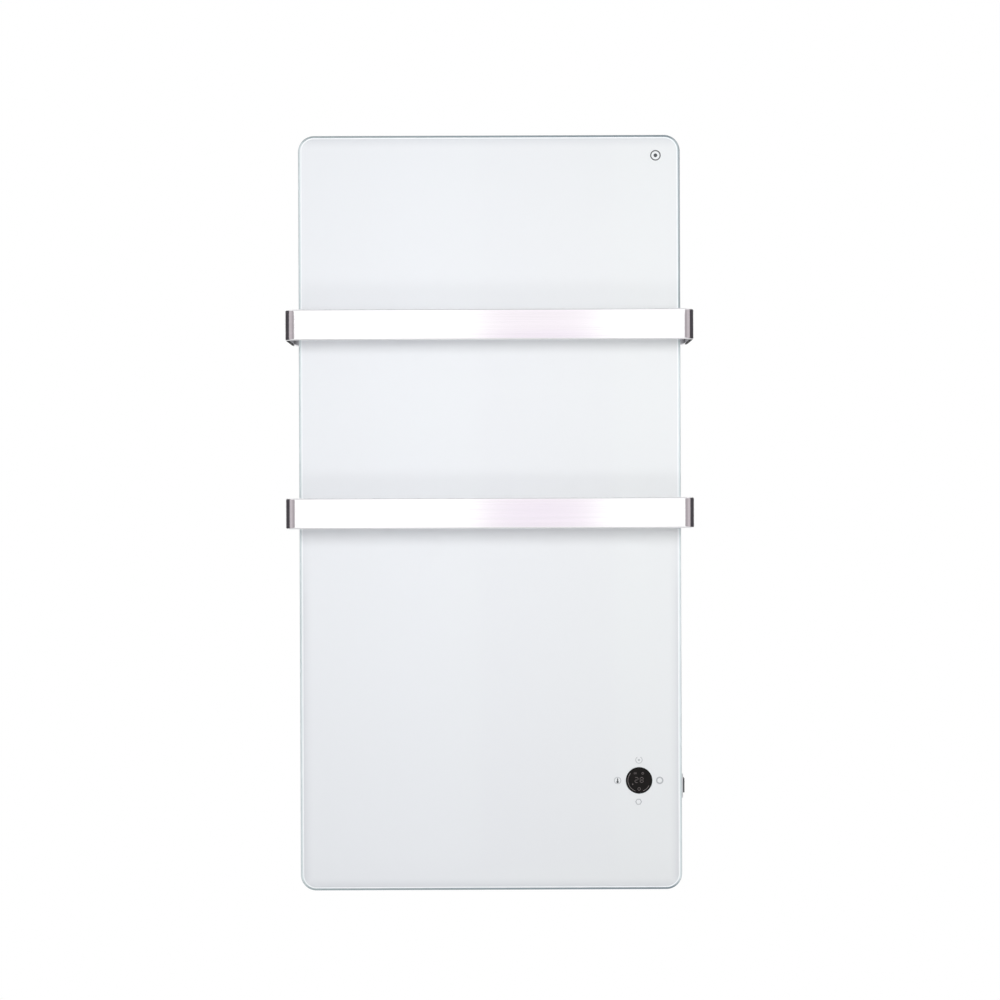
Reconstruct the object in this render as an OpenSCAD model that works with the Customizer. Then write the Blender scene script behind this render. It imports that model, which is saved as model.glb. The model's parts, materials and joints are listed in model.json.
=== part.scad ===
// Glass panel heater with two towel bars, hung on two wall rails.
// Millimetres. X runs to the right, Y into the wall and Z up. The origin lies on the face of
// the wall, in the middle of the four wall fixing holes and level with the panel's middle.

/* [Glass panel] */
// Width of the glass
glass_w = 430; // [410:10:520]
// Height of the glass
glass_h = 850; // [830:10:1000]
// Thickness of the glass
glass_t = 5; // [4:0.5:8]
// Radius of the glass corners, seen from the front
glass_corner_r = 18; // [8:1:24]
// Ground bevel round the front edge
glass_bevel = 1.8; // [0.5:0.1:2.2]

/* [Rear casing] */
// Gap between the wall and the back of the casing
wall_gap = 22; // [21:0.5:28]
// Depth of the casing from its back to its front flange
casing_depth = 26; // [26:0.5:34]
// How far the glass reaches past the casing on every side
casing_inset = 3; // [2:0.5:6]
// Radius of the casing corners, seen from the front
casing_corner_r = 15; // [8:1:18]
// Thickness of the sheet steel
sheet_t = 1; // [0.8:0.1:1.3]
// Outer radius of the fold round the back
fold_r = 2.5; // [1.6:0.1:3]
// Width of the front flange that the glass is bonded to
flange_w = 12; // [10:0.5:13]
// Thickness of the silicone bond
bond_t = 1.5; // [1.2:0.1:2.5]
// Width of the silicone bond
bond_w = 8; // [5:0.5:9]
// How far the bond stays back from the casing's side
bond_inset = 2; // [1:0.5:3]

/* [Towel bars] */
// Height of the flat bar
bar_h = 34; // [30:1:40]
// Thickness of the flat bar
bar_t = 4; // [3:0.25:5]
// Rounding of the bar's long edges
bar_edge_r = 1.8; // [0.5:0.1:2]
// Outer radius of the bends
bar_bend_r = 11.5; // [8:0.5:14]
// Clear gap between the glass and the back of a bar
towel_gap = 40; // [30:1:55]
// Clear gap between the glass edge and a bar's side
bar_side_gap = 7; // [4:0.5:12]
// How far a bar's rear return reaches in from the casing's side
bar_lap = 50; // [46:1:52]
// Height of the upper bar above the panel's middle
upper_bar_z = 208; // [120:2:300]
// Height of the lower bar above the panel's middle
lower_bar_z = 0; // [-60:2:60]
// Distance between the two screws of a return
bar_screw_pitch = 28; // [24:1:30]
// Distance from the return's end to its first screw
bar_screw_inset = 9; // [8:0.5:11]
// Radius of the bar screws' shanks
bar_screw_r = 2.5; // [2:0.1:3]
// Thickness of the washers under the bar screws
washer_t = 1; // [0.8:0.1:1.2]
// Thickness of the tapped plates inside the casing
backing_t = 3; // [2:0.25:3.5]

/* [Heating element] */
// Height of the unheated stretch at the bottom of the glass
bay_h = 185; // [178:1:200]
// Gap between the front flange and the film
film_margin = 5; // [3:1:12]
// Thickness of the heating film
film_t = 0.8; // [0.4:0.1:1.2]
// Width of the copper strips that feed the film
busbar_w = 6; // [4:1:10]
// Thickness of the copper strips
busbar_t = 0.3; // [0.2:0.05:0.4]
// Height of the upper overheating cut-out above the panel's middle
upper_cutout_z = 330; // [300:5:350]
// Height of the lower overheating cut-out above the panel's middle
lower_cutout_z = 90; // [60:5:150]
// Distance of the cut-outs to the left of the middle
cutout_x = 60; // [56:1:90]
// Radius of an overheating cut-out
cutout_r = 8; // [6:0.5:9]
// Height of an overheating cut-out's body
cutout_h = 10; // [8:0.5:12]

/* [Display and touch controls] */
// Distance from the glass's right edge to the middle of the display
display_from_side = 48.5; // [46:0.5:54]
// Distance from the glass's bottom edge to the middle of the display
display_from_bottom = 123; // [112:1:132]
// Radius of the round display window
window_r = 14.8; // [12:0.1:15.5]
// Gap between the window and the hole in the glass
window_gap = 0.1; // [0.05:0.05:0.3]
// Distance from the middle of the display to each touch field
touch_ring_r = 23.5; // [22.5:0.25:24]
// Radius of a touch pad
touch_pad_r = 3.4; // [2.5:0.1:3.6]
// Thickness of the circuit boards
board_t = 1.6; // [1:0.2:1.6]

/* [Power switch] */
// Distance from the glass's bottom edge to the middle of the switch
switch_from_bottom = 115; // [104:1:124]
// Height of the grey surround where it meets the casing
surround_h = 35.5; // [30:0.5:36]
// Depth of the grey surround, from the wall's side to the glass's side
surround_w = 19; // [18:0.5:20]
// How far the surround stands out of the casing's side
surround_out = 5.25; // [4.5:0.25:6.5]
// How far each end and side of the surround slopes in
surround_slope = 4.5; // [3:0.25:5]
// How far the switch's own rim stands out of the surround
switch_rim_out = 1.75; // [1:0.25:2]
// Thickness of that rim
switch_rim_t = 0.8; // [0.6:0.1:1]
// Half the height of the rocker
rocker_half_h = 5.6; // [5.5:0.1:6.3]
// Width of the rocker
rocker_w = 10.6; // [8:0.1:10.8]
// How far the rocker tilts to each side
rocker_tilt = 10; // [6:0.5:11]
// Gap round the rocker
rocker_gap = 0.3; // [0.2:0.05:0.4]
// Radius of the rocker's pin
rocker_pin_r = 1; // [0.8:0.05:1.2]

/* [Control box] */
// Distance of the box's middle to the right of the panel's middle
box_x = 30; // [24:1:32]
// Distance from the glass's bottom edge to the middle of the box
box_from_bottom = 95; // [88:1:104]
// Width of the box
box_w = 124; // [122:1:128]
// Height of the box
box_h = 92; // [90:1:100]
// Wall of the box and of its lid
box_wall = 1.8; // [1.4:0.1:2.2]
// Width of the power board
power_board_w = 104; // [100:1:106]
// Height of the power board
power_board_h = 76; // [74:1:80]

/* [Cable inlet] */
// Distance from the glass's right edge to the middle of the cable hood
hood_from_side = 65; // [58:1:70]
// Width of the cable hood without its lugs
hood_w = 28; // [24:1:32]
// Height of the cable hood
hood_h = 36; // [32:1:40]
// How far the hood stands back from the casing
hood_depth = 15; // [14:0.5:16]
// Distance from the casing's bottom to the hood's bottom
hood_from_bottom = 6; // [4:1:10]
// Radius of the hole that the supply cable goes into
cable_r = 3.6; // [3:0.1:4]
// Length of that hole
cable_bore_l = 12; // [10:1:14]

/* [Wall rails] */
// Distance between the fixing holes of one rail
fixing_pitch_x = 240; // [180:5:250]
// Distance between the two rails
fixing_pitch_z = 460; // [440:5:470]
// Radius of a wall fixing hole
fixing_r = 2.75; // [2.2:0.05:3.3]
// How far a rail runs past its fixing holes
rail_end = 30; // [20:1:32]
// Thickness of the rails
rail_t = 2; // [1.5:0.1:2.5]
// Height of a wall rail above its fixing holes
rail_above = 14; // [10:1:18]
// Distance of the rail's foot below its fixing holes
rail_below = 22; // [20:1:26]
// Depth of a wall rail's hook
hook_depth = 12; // [11:0.25:13]
// Height of a wall rail's lip
lip_h = 18; // [16:0.5:18.5]
// Length of the lip that hangs down behind it
hanger_lip_h = 14; // [11:0.5:14.5]
// Play between the two lips
lip_play = 0.5; // [0.3:0.1:1]
// Height of a hanger rail's flange
hanger_flange_h = 24; // [20:1:26]

/* [Hidden] */
$fn = 48;

// Depths, measured from the wall towards the room
back_depth = wall_gap;
inner_depth = back_depth + sheet_t;
flange_depth = back_depth + casing_depth;
glass_back = flange_depth + bond_t;
glass_front = glass_back + glass_t;
film_back = glass_back - film_t;
bar_back = glass_front + towel_gap;
bar_front = bar_back + bar_t;

// Widths and heights that follow from the glass
casing_w = glass_w - 2 * casing_inset;
casing_h = glass_h - 2 * casing_inset;
casing_side = casing_w / 2;
glass_foot = -glass_h / 2;
film_side = casing_side - flange_w - film_margin;
film_top = casing_h / 2 - flange_w - film_margin;
film_foot = glass_foot + bay_h;

// Towel bars
bar_side = glass_w / 2 + bar_side_gap + bar_t;
bar_rear = back_depth - bar_t;
bar_fillet = min(bar_edge_r, 0.45 * bar_t);
return_end = casing_side - bar_lap;
bar_screw_gap = 0.25;
bar_screws_x = [return_end + bar_screw_inset, return_end + bar_screw_inset + bar_screw_pitch];
bar_screw_head_r = 1.8 * bar_screw_r;
bar_screw_head_h = 1.1 * bar_screw_r;
bar_screw_tip = 1.5;
washer_r = 2.1 * bar_screw_r;
backing_side_gap = 2;
backing_w = bar_lap - 2.5 * backing_side_gap;
backing_h = bar_h - 2 * backing_side_gap;
backing_x = casing_side - sheet_t - backing_side_gap - backing_w / 2;

// Corners seen from the front
flange_corner_r = 4;
backing_corner_r = 2;
board_corner_r = 2;

// Insulation, with a pocket for everything that stands out of the casing or the film
pocket_clear = 2;
groove_h = 12;
groove_end = 20;
insulation_clear = 1;
insulation_front = film_back - busbar_t;
busbar_tab_h = 10;
busbar_inset = 2;
busbar_x = film_side - busbar_w / 2 - busbar_inset;
cutout_blade = [4, 0.8, 6.5];
cutout_pitch = 8;
cutout_cap_h = 4;
cutout_neck = 0.85;
cutout_back = film_back - cutout_h;
channel_w = 14;
channel_depth = 5;

// Display
display_x = glass_w / 2 - display_from_side;
display_z = glass_foot + display_from_bottom;
window_flange = 2.7;
window_flange_r = window_r + window_flange;
window_flange_t = 1.2;
window_back = glass_back - window_flange_t;
display_back_t = 0.9;
display_wall = 1.5;
display_board_w = 55;
display_board_h = 66;
display_board_gap = 0.5;
housing_depth = 7;
housing_back = glass_back - housing_depth;
housing_w = display_board_w + 2 * (display_wall + display_board_gap);
housing_h = display_board_h + 2 * (display_wall + display_board_gap);
housing_corner_r = 3;
board_back = housing_back + display_back_t;
board_front = board_back + board_t;
led_r = 11;
ribbon_w = 10;
ribbon_t = 0.6;
ribbon_gap = 1.5;
ribbon_depth = housing_back - ribbon_gap;
ribbon_port_w = 8;
ribbon_port_inset = 9;
ribbon_port_x = display_x - display_board_w / 2 + ribbon_port_inset;
ribbon_rise = 25;
ribbon_z = display_z + ribbon_rise;

// Power switch, in the casing's right side
switch_z = glass_foot + switch_from_bottom;
switch_depth = back_depth + casing_depth / 2;
switch_rim_top = casing_side + surround_out + switch_rim_out;
pivot_inset = 1;
pivot_x = casing_side - pivot_inset;
rocker_inset = 1.4;
rocker_valley = switch_rim_top - rocker_inset - pivot_x;
// Height above the pin of the rocker's shoulder, and how far it reaches below the pin
rocker_shoulder = 1.5;
rocker_belly = 2.5;
rocker_rise = rocker_half_h * tan(rocker_tilt);
well_half_h = rocker_half_h * cos(rocker_tilt) + (rocker_valley + rocker_rise) * sin(rocker_tilt)
    + rocker_gap;
well_half_w = rocker_w / 2 + rocker_gap;
switch_rim_half_h = well_half_h + switch_rim_t;
switch_rim_half_w = well_half_w + switch_rim_t;
well_depth = 7;
well_floor = pivot_x - well_depth;
switch_wall = 0.9;
switch_end_wall = 3.3;
switch_half_h = well_half_h + switch_end_wall;
switch_half_w = well_half_w + switch_wall;
switch_flange_t = 1.5;
switch_flange_rim = 1.3;
switch_depth_inside = 20;
switch_back = casing_side - switch_depth_inside;
switch_fit = 0.15;
blade_l = 8;
blade_t = 0.8;
blade_w = 5;
blade_pitch = 10;
pin_play = 0.05;

// Control box and what it holds
box_z = glass_foot + box_from_bottom;
box_glass_gap = 3;
box_front = glass_back - box_glass_gap;
box_corner_r = 4;
lid_gap = 0.2;
lid_rim_t = 1.2;
lid_rim_h = 2;
post_h = 6.2;
post_r = 3.2;
post_inset = 6;
board_screw_r = 1.25;
power_board_back = inner_depth + box_wall + post_h;
power_board_front = power_board_back + board_t;
block_w = 9;
block_h = 36;
block_t = 12;
block_x = power_board_w / 2 - block_w / 2;
way_pitch = 6;
notch_h = 36;
notch_depth = 11;
boss_r = 3.6;
boss_x = box_w / 2 - box_wall - boss_r;
box_screw_r = 1.6;
boss_h = 9;
ribbon_start = 30;
ribbon_start_x = box_x + ribbon_start;
ribbon_start_z = box_z + ribbon_start;
ribbon_notch_w = ribbon_w + 2 * ribbon_gap;
small_head_r = 3.2;
small_head_h = 2.2;
board_head_r = 2.6;
board_head_h = 1.8;
screw_well_r = 1.8;
screw_well_h = 2;
// Width, height and depth of the parts on the power board, and their places from its middle
relay_size = [29, 12.7, 12.3];
relay_at = [-32, 19, 0];
converter_size = [34, 22, 13];
converter_at = [-35, -33, 0];
capacitor_size = [18, 8, 12];
capacitor_at = [8, -30, 0];
fuse_at = [8, -8, 0];
fuse_l = 20;
fuse_r = 2.6;
fuse_axis_h = 6;
fuse_clip = [4, 6.8, 7];
fuse_clip_end = 1;

// Cable hood, behind the casing's lower right corner
hood_x = glass_w / 2 - hood_from_side;
hood_foot = -casing_h / 2 + hood_from_bottom;
hood_z = hood_foot + hood_h / 2;
hood_back = back_depth - hood_depth;
cable_depth = back_depth - hood_depth / 2;
hood_room = 9;
hood_back_t = 2;
hood_top_t = 3;
hood_corner_r = 3;
lug_w = 8;
lug_h = 12;
lug_t = 3;
hood_screw_bite = 4;
hood_screw_r = 1.75;
cable_port_r = 6;
cable_port_rise = 10;
cable_port_z = hood_foot + cable_bore_l + cable_port_rise;

// Earth connection and air sensor
earth_box_gap = 20;
earth_drop = 45;
earth_x = box_x + box_w / 2 + earth_box_gap;
earth_z = box_z - earth_drop;
earth_r = 2;
ring_t = 0.8;
earth_nut_t = 3.2;
earth_stud_l = 10;
ring_tab = [5, 14];
sensor_box_gap = 16;
sensor_x = box_x - box_w / 2 - sensor_box_gap;
sensor_depth = back_depth + casing_depth / 2;
sensor_r = 3;
sensor_out = 2.2;
sensor_l = 16;
grommet_lip = 1.5;
grommet_rim = 1;

// Wall rails and the hanger rails that drop into them
rail_w = fixing_pitch_x + 2 * rail_end;
rail_z = fixing_pitch_z / 2;
seat_gap = 0.2;
lip_top = -rail_below + lip_h;
hanger_web_z = lip_top + seat_gap;
hanger_lip_depth = hook_depth - rail_t - lip_play;
hanger_flange_depth = back_depth - rail_t;
rivet_r = 2;
rivet_play = 0.05;
rivet_z = hanger_web_z + rail_t + hanger_flange_h / 2;
rivet_end = 40;
rivet_pitch = rail_w / 2 - rivet_end;
rivet_head_r = rivet_r + 2;
rivet_head_h = 1.2;
rivet_tail_r = rivet_r + 1.3;
rivet_tail_h = 1.5;

// How far a cut runs past what it cuts, and how far two solids of one piece run into each other
past = 1;
lap = 0.01;

// Wires
wire_r = 1.2;
wire_sides = 8;
wire_bend = 5;
// How far the wires lie off the power board and off the casing's back, and how far a bundle
// stands clear of what it passes
wire_lift = 6;
wire_clear = 5;
wire_depth = power_board_front + wire_lift;
wire_back_depth = inner_depth + wire_clear / 2;
wire_turn = 14;
sensor_wire_drop = 40;
// A direction that no wire runs in, which sets where each ring of a wire starts
wire_reference = [1, 2, 3];

white = "#e9eaee";
casing_white = "#dedfe2";
aluminium = "#d4d5d9";
zinc = "#b4b6ba";
board_green = "#2d5b45";
copper = "#b87b52";

// Turns a drawing so that x runs to the right, y runs up and z runs from the wall to the room
module from_wall(depth = 0) {
    rotate([90, 0, 0]) translate([0, 0, depth]) children();
}

module both_ways() {
    children();
    mirror([1, 0, 0]) children();
}

module rounded_rect(w, h, r) {
    square([w - 2 * r, h], center = true);
    square([w, h - 2 * r], center = true);
    for (x = [-1, 1], y = [-1, 1])
        translate([x * (w / 2 - r), y * (h / 2 - r)]) circle(r);
}

// A slab with round corners, whose rim has the section that the child draws from its middle out
// to $half
module rimmed_slab(w, h, r) {
    for (x = [-1, 1], y = [-1, 1])
        translate([x * (w / 2 - r), y * (h / 2 - r)]) rotate_extrude() let($half = r) children();
    rotate([90, 0, 90]) linear_extrude(w - 2 * r, center = true)
        both_ways() let($half = h / 2) children();
    rotate([90, 0, 0]) linear_extrude(h - 2 * r, center = true)
        both_ways() let($half = w / 2) children();
}

module bevelled_section(t, bevel) {
    polygon([[0, 0], [$half, 0], [$half, t - bevel], [$half - bevel, t], [0, t]]);
}

module folded_section(t, r) {
    square([$half - r, t]);
    translate([0, r]) square([$half, t - r]);
    translate([$half - r, r]) circle(r);
}

// Screw with a low round head and a six-sided socket. The head's underside lies at z = 0 and the
// shank runs up
module pan_screw(r, head_r, head_h, length) {
    cylinder(r = r, h = length);
    difference() {
        union() {
            translate([0, 0, -head_h / 2]) cylinder(r = head_r, h = head_h / 2);
            translate([0, 0, -head_h]) cylinder(r1 = 0.7 * head_r, r2 = head_r, h = head_h / 2);
        }
        translate([0, 0, -head_h - 1]) cylinder(r = 0.38 * head_r, h = 0.6 * head_h + 1, $fn = 6);
    }
}

function unit(v) = v / norm(v);

// The route with each inner corner rounded, never by more than its share of the shorter run
function rounded_route(p, bend, steps = 4) = [
    p[0],
    for (i = [1 : len(p) - 2])
        let(
            before = p[i - 1] - p[i],
            after = p[i + 1] - p[i],
            r = min(bend, 0.4 * norm(before), 0.4 * norm(after)),
            a = p[i] + r * unit(before),
            b = p[i] + r * unit(after)
        )
        for (s = [0 : steps])
            let(k = s / steps)
            (1 - k) * (1 - k) * a + 2 * k * (1 - k) * p[i] + k * k * b,
    p[len(p) - 1]
];

function heading(p, i) =
    i == 0 ? unit(p[1] - p[0])
    : i == len(p) - 1 ? unit(p[i] - p[i - 1])
    : unit(unit(p[i + 1] - p[i]) + unit(p[i] - p[i - 1]));

function wire_ring(p, i, r) =
    let(
        t = heading(p, i),
        u = unit(cross(t, wire_reference)),
        v = cross(t, u)
    )
    [for (a = [0 : wire_sides - 1])
        p[i] + r * (cos(360 * a / wire_sides) * u + sin(360 * a / wire_sides) * v)];

// A round wire along points given as right, up and away from the wall
module wire(points, r = wire_r) {
    path = rounded_route(points, wire_bend);
    last = len(path) - 1;
    n = wire_sides;
    from_wall() polyhedron(
        points = [for (i = [0 : last]) each wire_ring(path, i, r)],
        faces = [
            [for (a = [0 : n - 1]) a],
            [for (a = [n - 1 : -1 : 0]) last * n + a],
            for (i = [0 : last - 1], a = [0 : n - 1])
                [i * n + a, (i + 1) * n + a, (i + 1) * n + (a + 1) % n, i * n + (a + 1) % n]
        ]
    );
}

// Wall rail: a flange on the wall with two fixing holes, and a lip that stands up in front of it
module wall_rail(z) {
    color(zinc) translate([0, 0, z]) difference() {
        rotate([90, 0, 90]) linear_extrude(rail_w, center = true) wall_rail_section();
        for (x = [-1, 1])
            translate([x * fixing_pitch_x / 2, past, 0]) rotate([90, 0, 0])
                cylinder(r = fixing_r, h = rail_t + 2 * past);
    }
}

// Section of a wall rail, with the room on the left
module wall_rail_section() {
    translate([-rail_t, -rail_below]) square([rail_t, rail_below + rail_above]);
    translate([-hook_depth, -rail_below]) square([hook_depth, rail_t]);
    translate([-hook_depth, -rail_below]) square([rail_t, lip_h]);
}

module upper_wall_rail() {
    wall_rail(rail_z);
}

module lower_wall_rail() {
    wall_rail(-rail_z);
}

// Hanger rail: riveted to the casing, with a lip that hangs down behind the wall rail's lip
module hanger_rail(z) {
    color(zinc) translate([0, 0, z]) difference() {
        rotate([90, 0, 90]) linear_extrude(rail_w, center = true) hanger_rail_section();
        for (x = [-1 : 1])
            translate([x * rivet_pitch, -back_depth - past, rivet_z]) rotate([-90, 0, 0])
                cylinder(r = rivet_r + rivet_play, h = rail_t + 2 * past);
    }
}

// Section of a hanger rail, with the room on the left
module hanger_rail_section() {
    translate([-back_depth, hanger_web_z]) square([rail_t, rail_t + hanger_flange_h]);
    translate([-back_depth, hanger_web_z]) square([back_depth - hanger_lip_depth + rail_t, rail_t]);
    translate([-hanger_lip_depth, hanger_web_z + rail_t - hanger_lip_h - rail_t])
        square([rail_t, hanger_lip_h + rail_t]);
}

module upper_hanger_rail() {
    hanger_rail(rail_z);
}

module lower_hanger_rail() {
    hanger_rail(-rail_z);
}

module at_rivets() {
    for (z = [-1, 1], x = [-1 : 1])
        translate([x * rivet_pitch, z * rail_z + rivet_z, 0]) children();
}

module hanger_rivets() {
    color(zinc) from_wall() at_rivets() {
        translate([0, 0, hanger_flange_depth - rivet_head_h])
            cylinder(r1 = 0.75 * rivet_head_r, r2 = rivet_head_r, h = rivet_head_h);
        translate([0, 0, hanger_flange_depth]) cylinder(r = rivet_r, h = rail_t + sheet_t);
        translate([0, 0, inner_depth])
            cylinder(r1 = rivet_tail_r, r2 = 0.85 * rivet_tail_r, h = rivet_tail_h);
    }
}

module glass_panel() {
    color(white) from_wall(glass_back) difference() {
        rimmed_slab(glass_w, glass_h, glass_corner_r) bevelled_section(glass_t, glass_bevel);
        translate([display_x, display_z, -past])
            cylinder(r = window_r + window_gap, h = glass_t + 2 * past);
    }
}

module glass_bond() {
    outer_w = casing_w - 2 * bond_inset;
    outer_h = casing_h - 2 * bond_inset;
    outer_r = casing_corner_r - bond_inset;
    inner_r = max(outer_r - bond_w, 1);
    color("#c9cacc") from_wall(flange_depth) linear_extrude(bond_t) difference() {
        rounded_rect(outer_w, outer_h, outer_r);
        rounded_rect(outer_w - 2 * bond_w, outer_h - 2 * bond_w, inner_r);
    }
}

module rear_casing() {
    color(casing_white) difference() {
        from_wall(back_depth) casing_shell();
        from_wall(back_depth - past) {
            at_bar_screws() sheet_hole(bar_screw_r + bar_screw_gap);
            at_rivets() sheet_hole(rivet_r + rivet_play);
            at_box_screws() sheet_hole(box_screw_r + bar_screw_gap);
            at_hood_screws() sheet_hole(hood_screw_r + rivet_play);
            translate([hood_x, cable_port_z]) sheet_hole(cable_port_r);
        }
        at_switch() translate([0, 0, casing_side - sheet_t - past])
            linear_extrude(sheet_t + 2 * past)
                square(2 * [switch_half_h + switch_fit, switch_half_w + switch_fit], center = true);
        translate([sensor_x, -sensor_depth, -casing_h / 2 - past])
            sheet_hole(sensor_r + grommet_lip);
    }
}

module sheet_hole(r) {
    cylinder(r = r, h = sheet_t + 2 * past);
}

// The casing with its hollow and its front flange, standing on its back
module casing_shell() {
    difference() {
        rimmed_slab(casing_w, casing_h, casing_corner_r) folded_section(casing_depth, fold_r);
        translate([0, 0, sheet_t])
            rimmed_slab(casing_w - 2 * sheet_t, casing_h - 2 * sheet_t, casing_corner_r - sheet_t)
                folded_section(casing_depth - 2 * sheet_t, fold_r - sheet_t);
        translate([0, 0, casing_depth / 2]) linear_extrude(casing_depth)
            rounded_rect(casing_w - 2 * flange_w, casing_h - 2 * flange_w, flange_corner_r);
    }
}

// The four returns of the towel bars, each with two screws
module at_bar_screws() {
    for (z = [upper_bar_z, lower_bar_z], side = [-1, 1], x = bar_screws_x)
        translate([side * x, z, 0]) children();
}

// One bar: a flat front, two bends, two sides, two more bends and two returns behind the casing
module towel_bar(z) {
    run = bar_front - bar_rear - 2 * bar_bend_r;
    color(aluminium) from_wall() difference() {
        translate([0, z, 0]) {
            bar_run(2 * (bar_side - bar_bend_r), 0, bar_back + bar_t / 2);
            both_ways() {
                bar_bend(bar_front - bar_bend_r, 0);
                translate([bar_side - bar_t / 2, 0, bar_rear + bar_bend_r]) linear_extrude(run)
                    rounded_rect(bar_t, bar_h, bar_fillet);
                bar_bend(bar_rear + bar_bend_r, -90);
                bar_run(bar_side - bar_bend_r - return_end,
                    (bar_side - bar_bend_r + return_end) / 2, bar_rear + bar_t / 2);
            }
        }
        translate([0, 0, bar_rear - past]) at_bar_screws()
            cylinder(r = bar_screw_r + bar_screw_gap, h = bar_t + 2 * past);
    }
}

// A straight run of the bar along x
module bar_run(length, x, depth) {
    translate([x, 0, depth]) rotate([0, 90, 0]) linear_extrude(length, center = true)
        rounded_rect(bar_t, bar_h, bar_fillet);
}

// A quarter bend of the bar at its right-hand side, which starts at the given angle
module bar_bend(depth, start) {
    translate([bar_side - bar_bend_r, 0, depth]) rotate([90, 0, 0]) rotate([0, 0, start])
        rotate_extrude(angle = 90) translate([bar_bend_r - bar_t / 2, 0])
            rounded_rect(bar_t, bar_h, bar_fillet);
}

module upper_towel_bar() {
    towel_bar(upper_bar_z);
}

module lower_towel_bar() {
    towel_bar(lower_bar_z);
}

module bar_backing_plates() {
    color(zinc) from_wall(inner_depth) difference() {
        for (z = [upper_bar_z, lower_bar_z], side = [-1, 1])
            translate([side * backing_x, z, 0]) linear_extrude(backing_t)
                rounded_rect(backing_w, backing_h, backing_corner_r);
        translate([0, 0, -past]) at_bar_screws()
            cylinder(r = bar_screw_r + rivet_play, h = backing_t + 2 * past);
    }
}

module bar_screws() {
    length = washer_t + bar_t + sheet_t + backing_t + bar_screw_tip;
    color(zinc) from_wall(bar_rear - washer_t) at_bar_screws()
        pan_screw(bar_screw_r, bar_screw_head_r, bar_screw_head_h, length);
}

module bar_washers() {
    color(zinc) from_wall(bar_rear - washer_t) at_bar_screws() linear_extrude(washer_t)
        difference() {
            circle(washer_r);
            circle(bar_screw_r + bar_screw_gap);
        }
}

module heating_film() {
    color("#8c6a43") from_wall(film_back) translate([-film_side, film_foot, 0])
        cube([2 * film_side, film_top - film_foot, film_t]);
}

// Two copper strips down the sides of the film, each with a tab below it for its lead
module busbars() {
    color(copper) from_wall(film_back - busbar_t) for (side = [-1, 1])
        translate([side * busbar_x - busbar_w / 2, film_foot - busbar_tab_h, 0])
            cube([busbar_w, film_top - film_foot + busbar_tab_h, busbar_t]);
}

module insulation_board() {
    half_w = film_side + insulation_clear;
    foot = film_foot + insulation_clear;
    color("#d9cfae") from_wall(inner_depth) difference() {
        translate([-half_w, foot, 0])
            cube([2 * half_w, film_top - foot, insulation_front - inner_depth]);
        for (z = [upper_bar_z, lower_bar_z], side = [-1, 1])
            translate([side * backing_x, z, 0])
                pocket(backing_w + 2 * pocket_clear, backing_h + 2 * pocket_clear);
        for (z = [-1, 1])
            translate([0, z * rail_z + rivet_z, 0]) pocket(rail_w - 2 * groove_end, groove_h);
        translate([-cutout_x, (foot + upper_cutout_z) / 2, 0])
            pocket(channel_w, upper_cutout_z - foot + 2 * past);
        at_cutouts() cylinder(r = cutout_r + pocket_clear, h = insulation_front);
    }
}

// A shallow pocket in the back of the insulation
module pocket(w, h) {
    cube([w, h, 2 * channel_depth], center = true);
}

module at_cutouts() {
    for (z = [upper_cutout_z, lower_cutout_z])
        translate([-cutout_x, z, 0]) children();
}

// Snap discs that rest on the film and cut the current when it gets too hot
module thermal_cutouts() {
    color("#2b2b2d") from_wall() at_cutouts() {
        translate([0, 0, cutout_back])
            cylinder(r = cutout_neck * cutout_r, h = cutout_h - cutout_cap_h / 2);
        translate([0, 0, film_back - cutout_cap_h]) cylinder(r = cutout_r, h = cutout_cap_h);
    }
}

module cutout_terminals() {
    color(copper) from_wall() at_cutouts() for (side = [-1, 1])
        translate([0, side * cutout_pitch / 2, cutout_back - cutout_blade.z / 2])
            cube(cutout_blade, center = true);
}

// Smoked window: its front is flush with the glass, and its flange seats behind the glass
module display_window() {
    color("#141518") from_wall(window_back) translate([display_x, display_z, 0]) {
        cylinder(r = window_flange_r, h = window_flange_t);
        cylinder(r = window_r, h = window_flange_t + glass_t);
    }
}

module led_display() {
    color("#3a3b40") from_wall(board_front) translate([display_x, display_z, 0])
        cylinder(r = led_r, h = window_back - board_front);
}

module display_board() {
    color(board_green) from_wall(board_back) translate([display_x, display_z, 0])
        linear_extrude(board_t)
            rounded_rect(display_board_w, display_board_h, board_corner_r);
}

// Open plastic frame behind the glass, with a port in its back for the ribbon
module display_housing() {
    color("#ececec") from_wall(housing_back) difference() {
        translate([display_x, display_z, 0]) difference() {
            linear_extrude(glass_back - housing_back)
                rounded_rect(housing_w, housing_h, housing_corner_r);
            translate([0, 0, display_back_t]) linear_extrude(glass_back)
                rounded_rect(housing_w - 2 * display_wall, housing_h - 2 * display_wall,
                    housing_corner_r - display_wall / 2);
        }
        translate([ribbon_port_x, ribbon_z, 0])
            cube([ribbon_port_w, ribbon_notch_w, 3 * display_back_t], center = true);
    }
}

// Conductive foam pads that carry the four touch fields from the board to the glass
module touch_pads() {
    color("#4a4b50") from_wall(board_front) for (a = [0 : 90 : 270])
        translate([display_x + touch_ring_r * cos(a), display_z + touch_ring_r * sin(a), 0])
            cylinder(r = touch_pad_r, h = glass_back - board_front);
}

// Places a drawing at the switch: x up, y away from the wall and z out of the casing's side
module at_switch() {
    translate([0, -switch_depth, switch_z]) rotate([0, -90, 180]) children();
}

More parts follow.
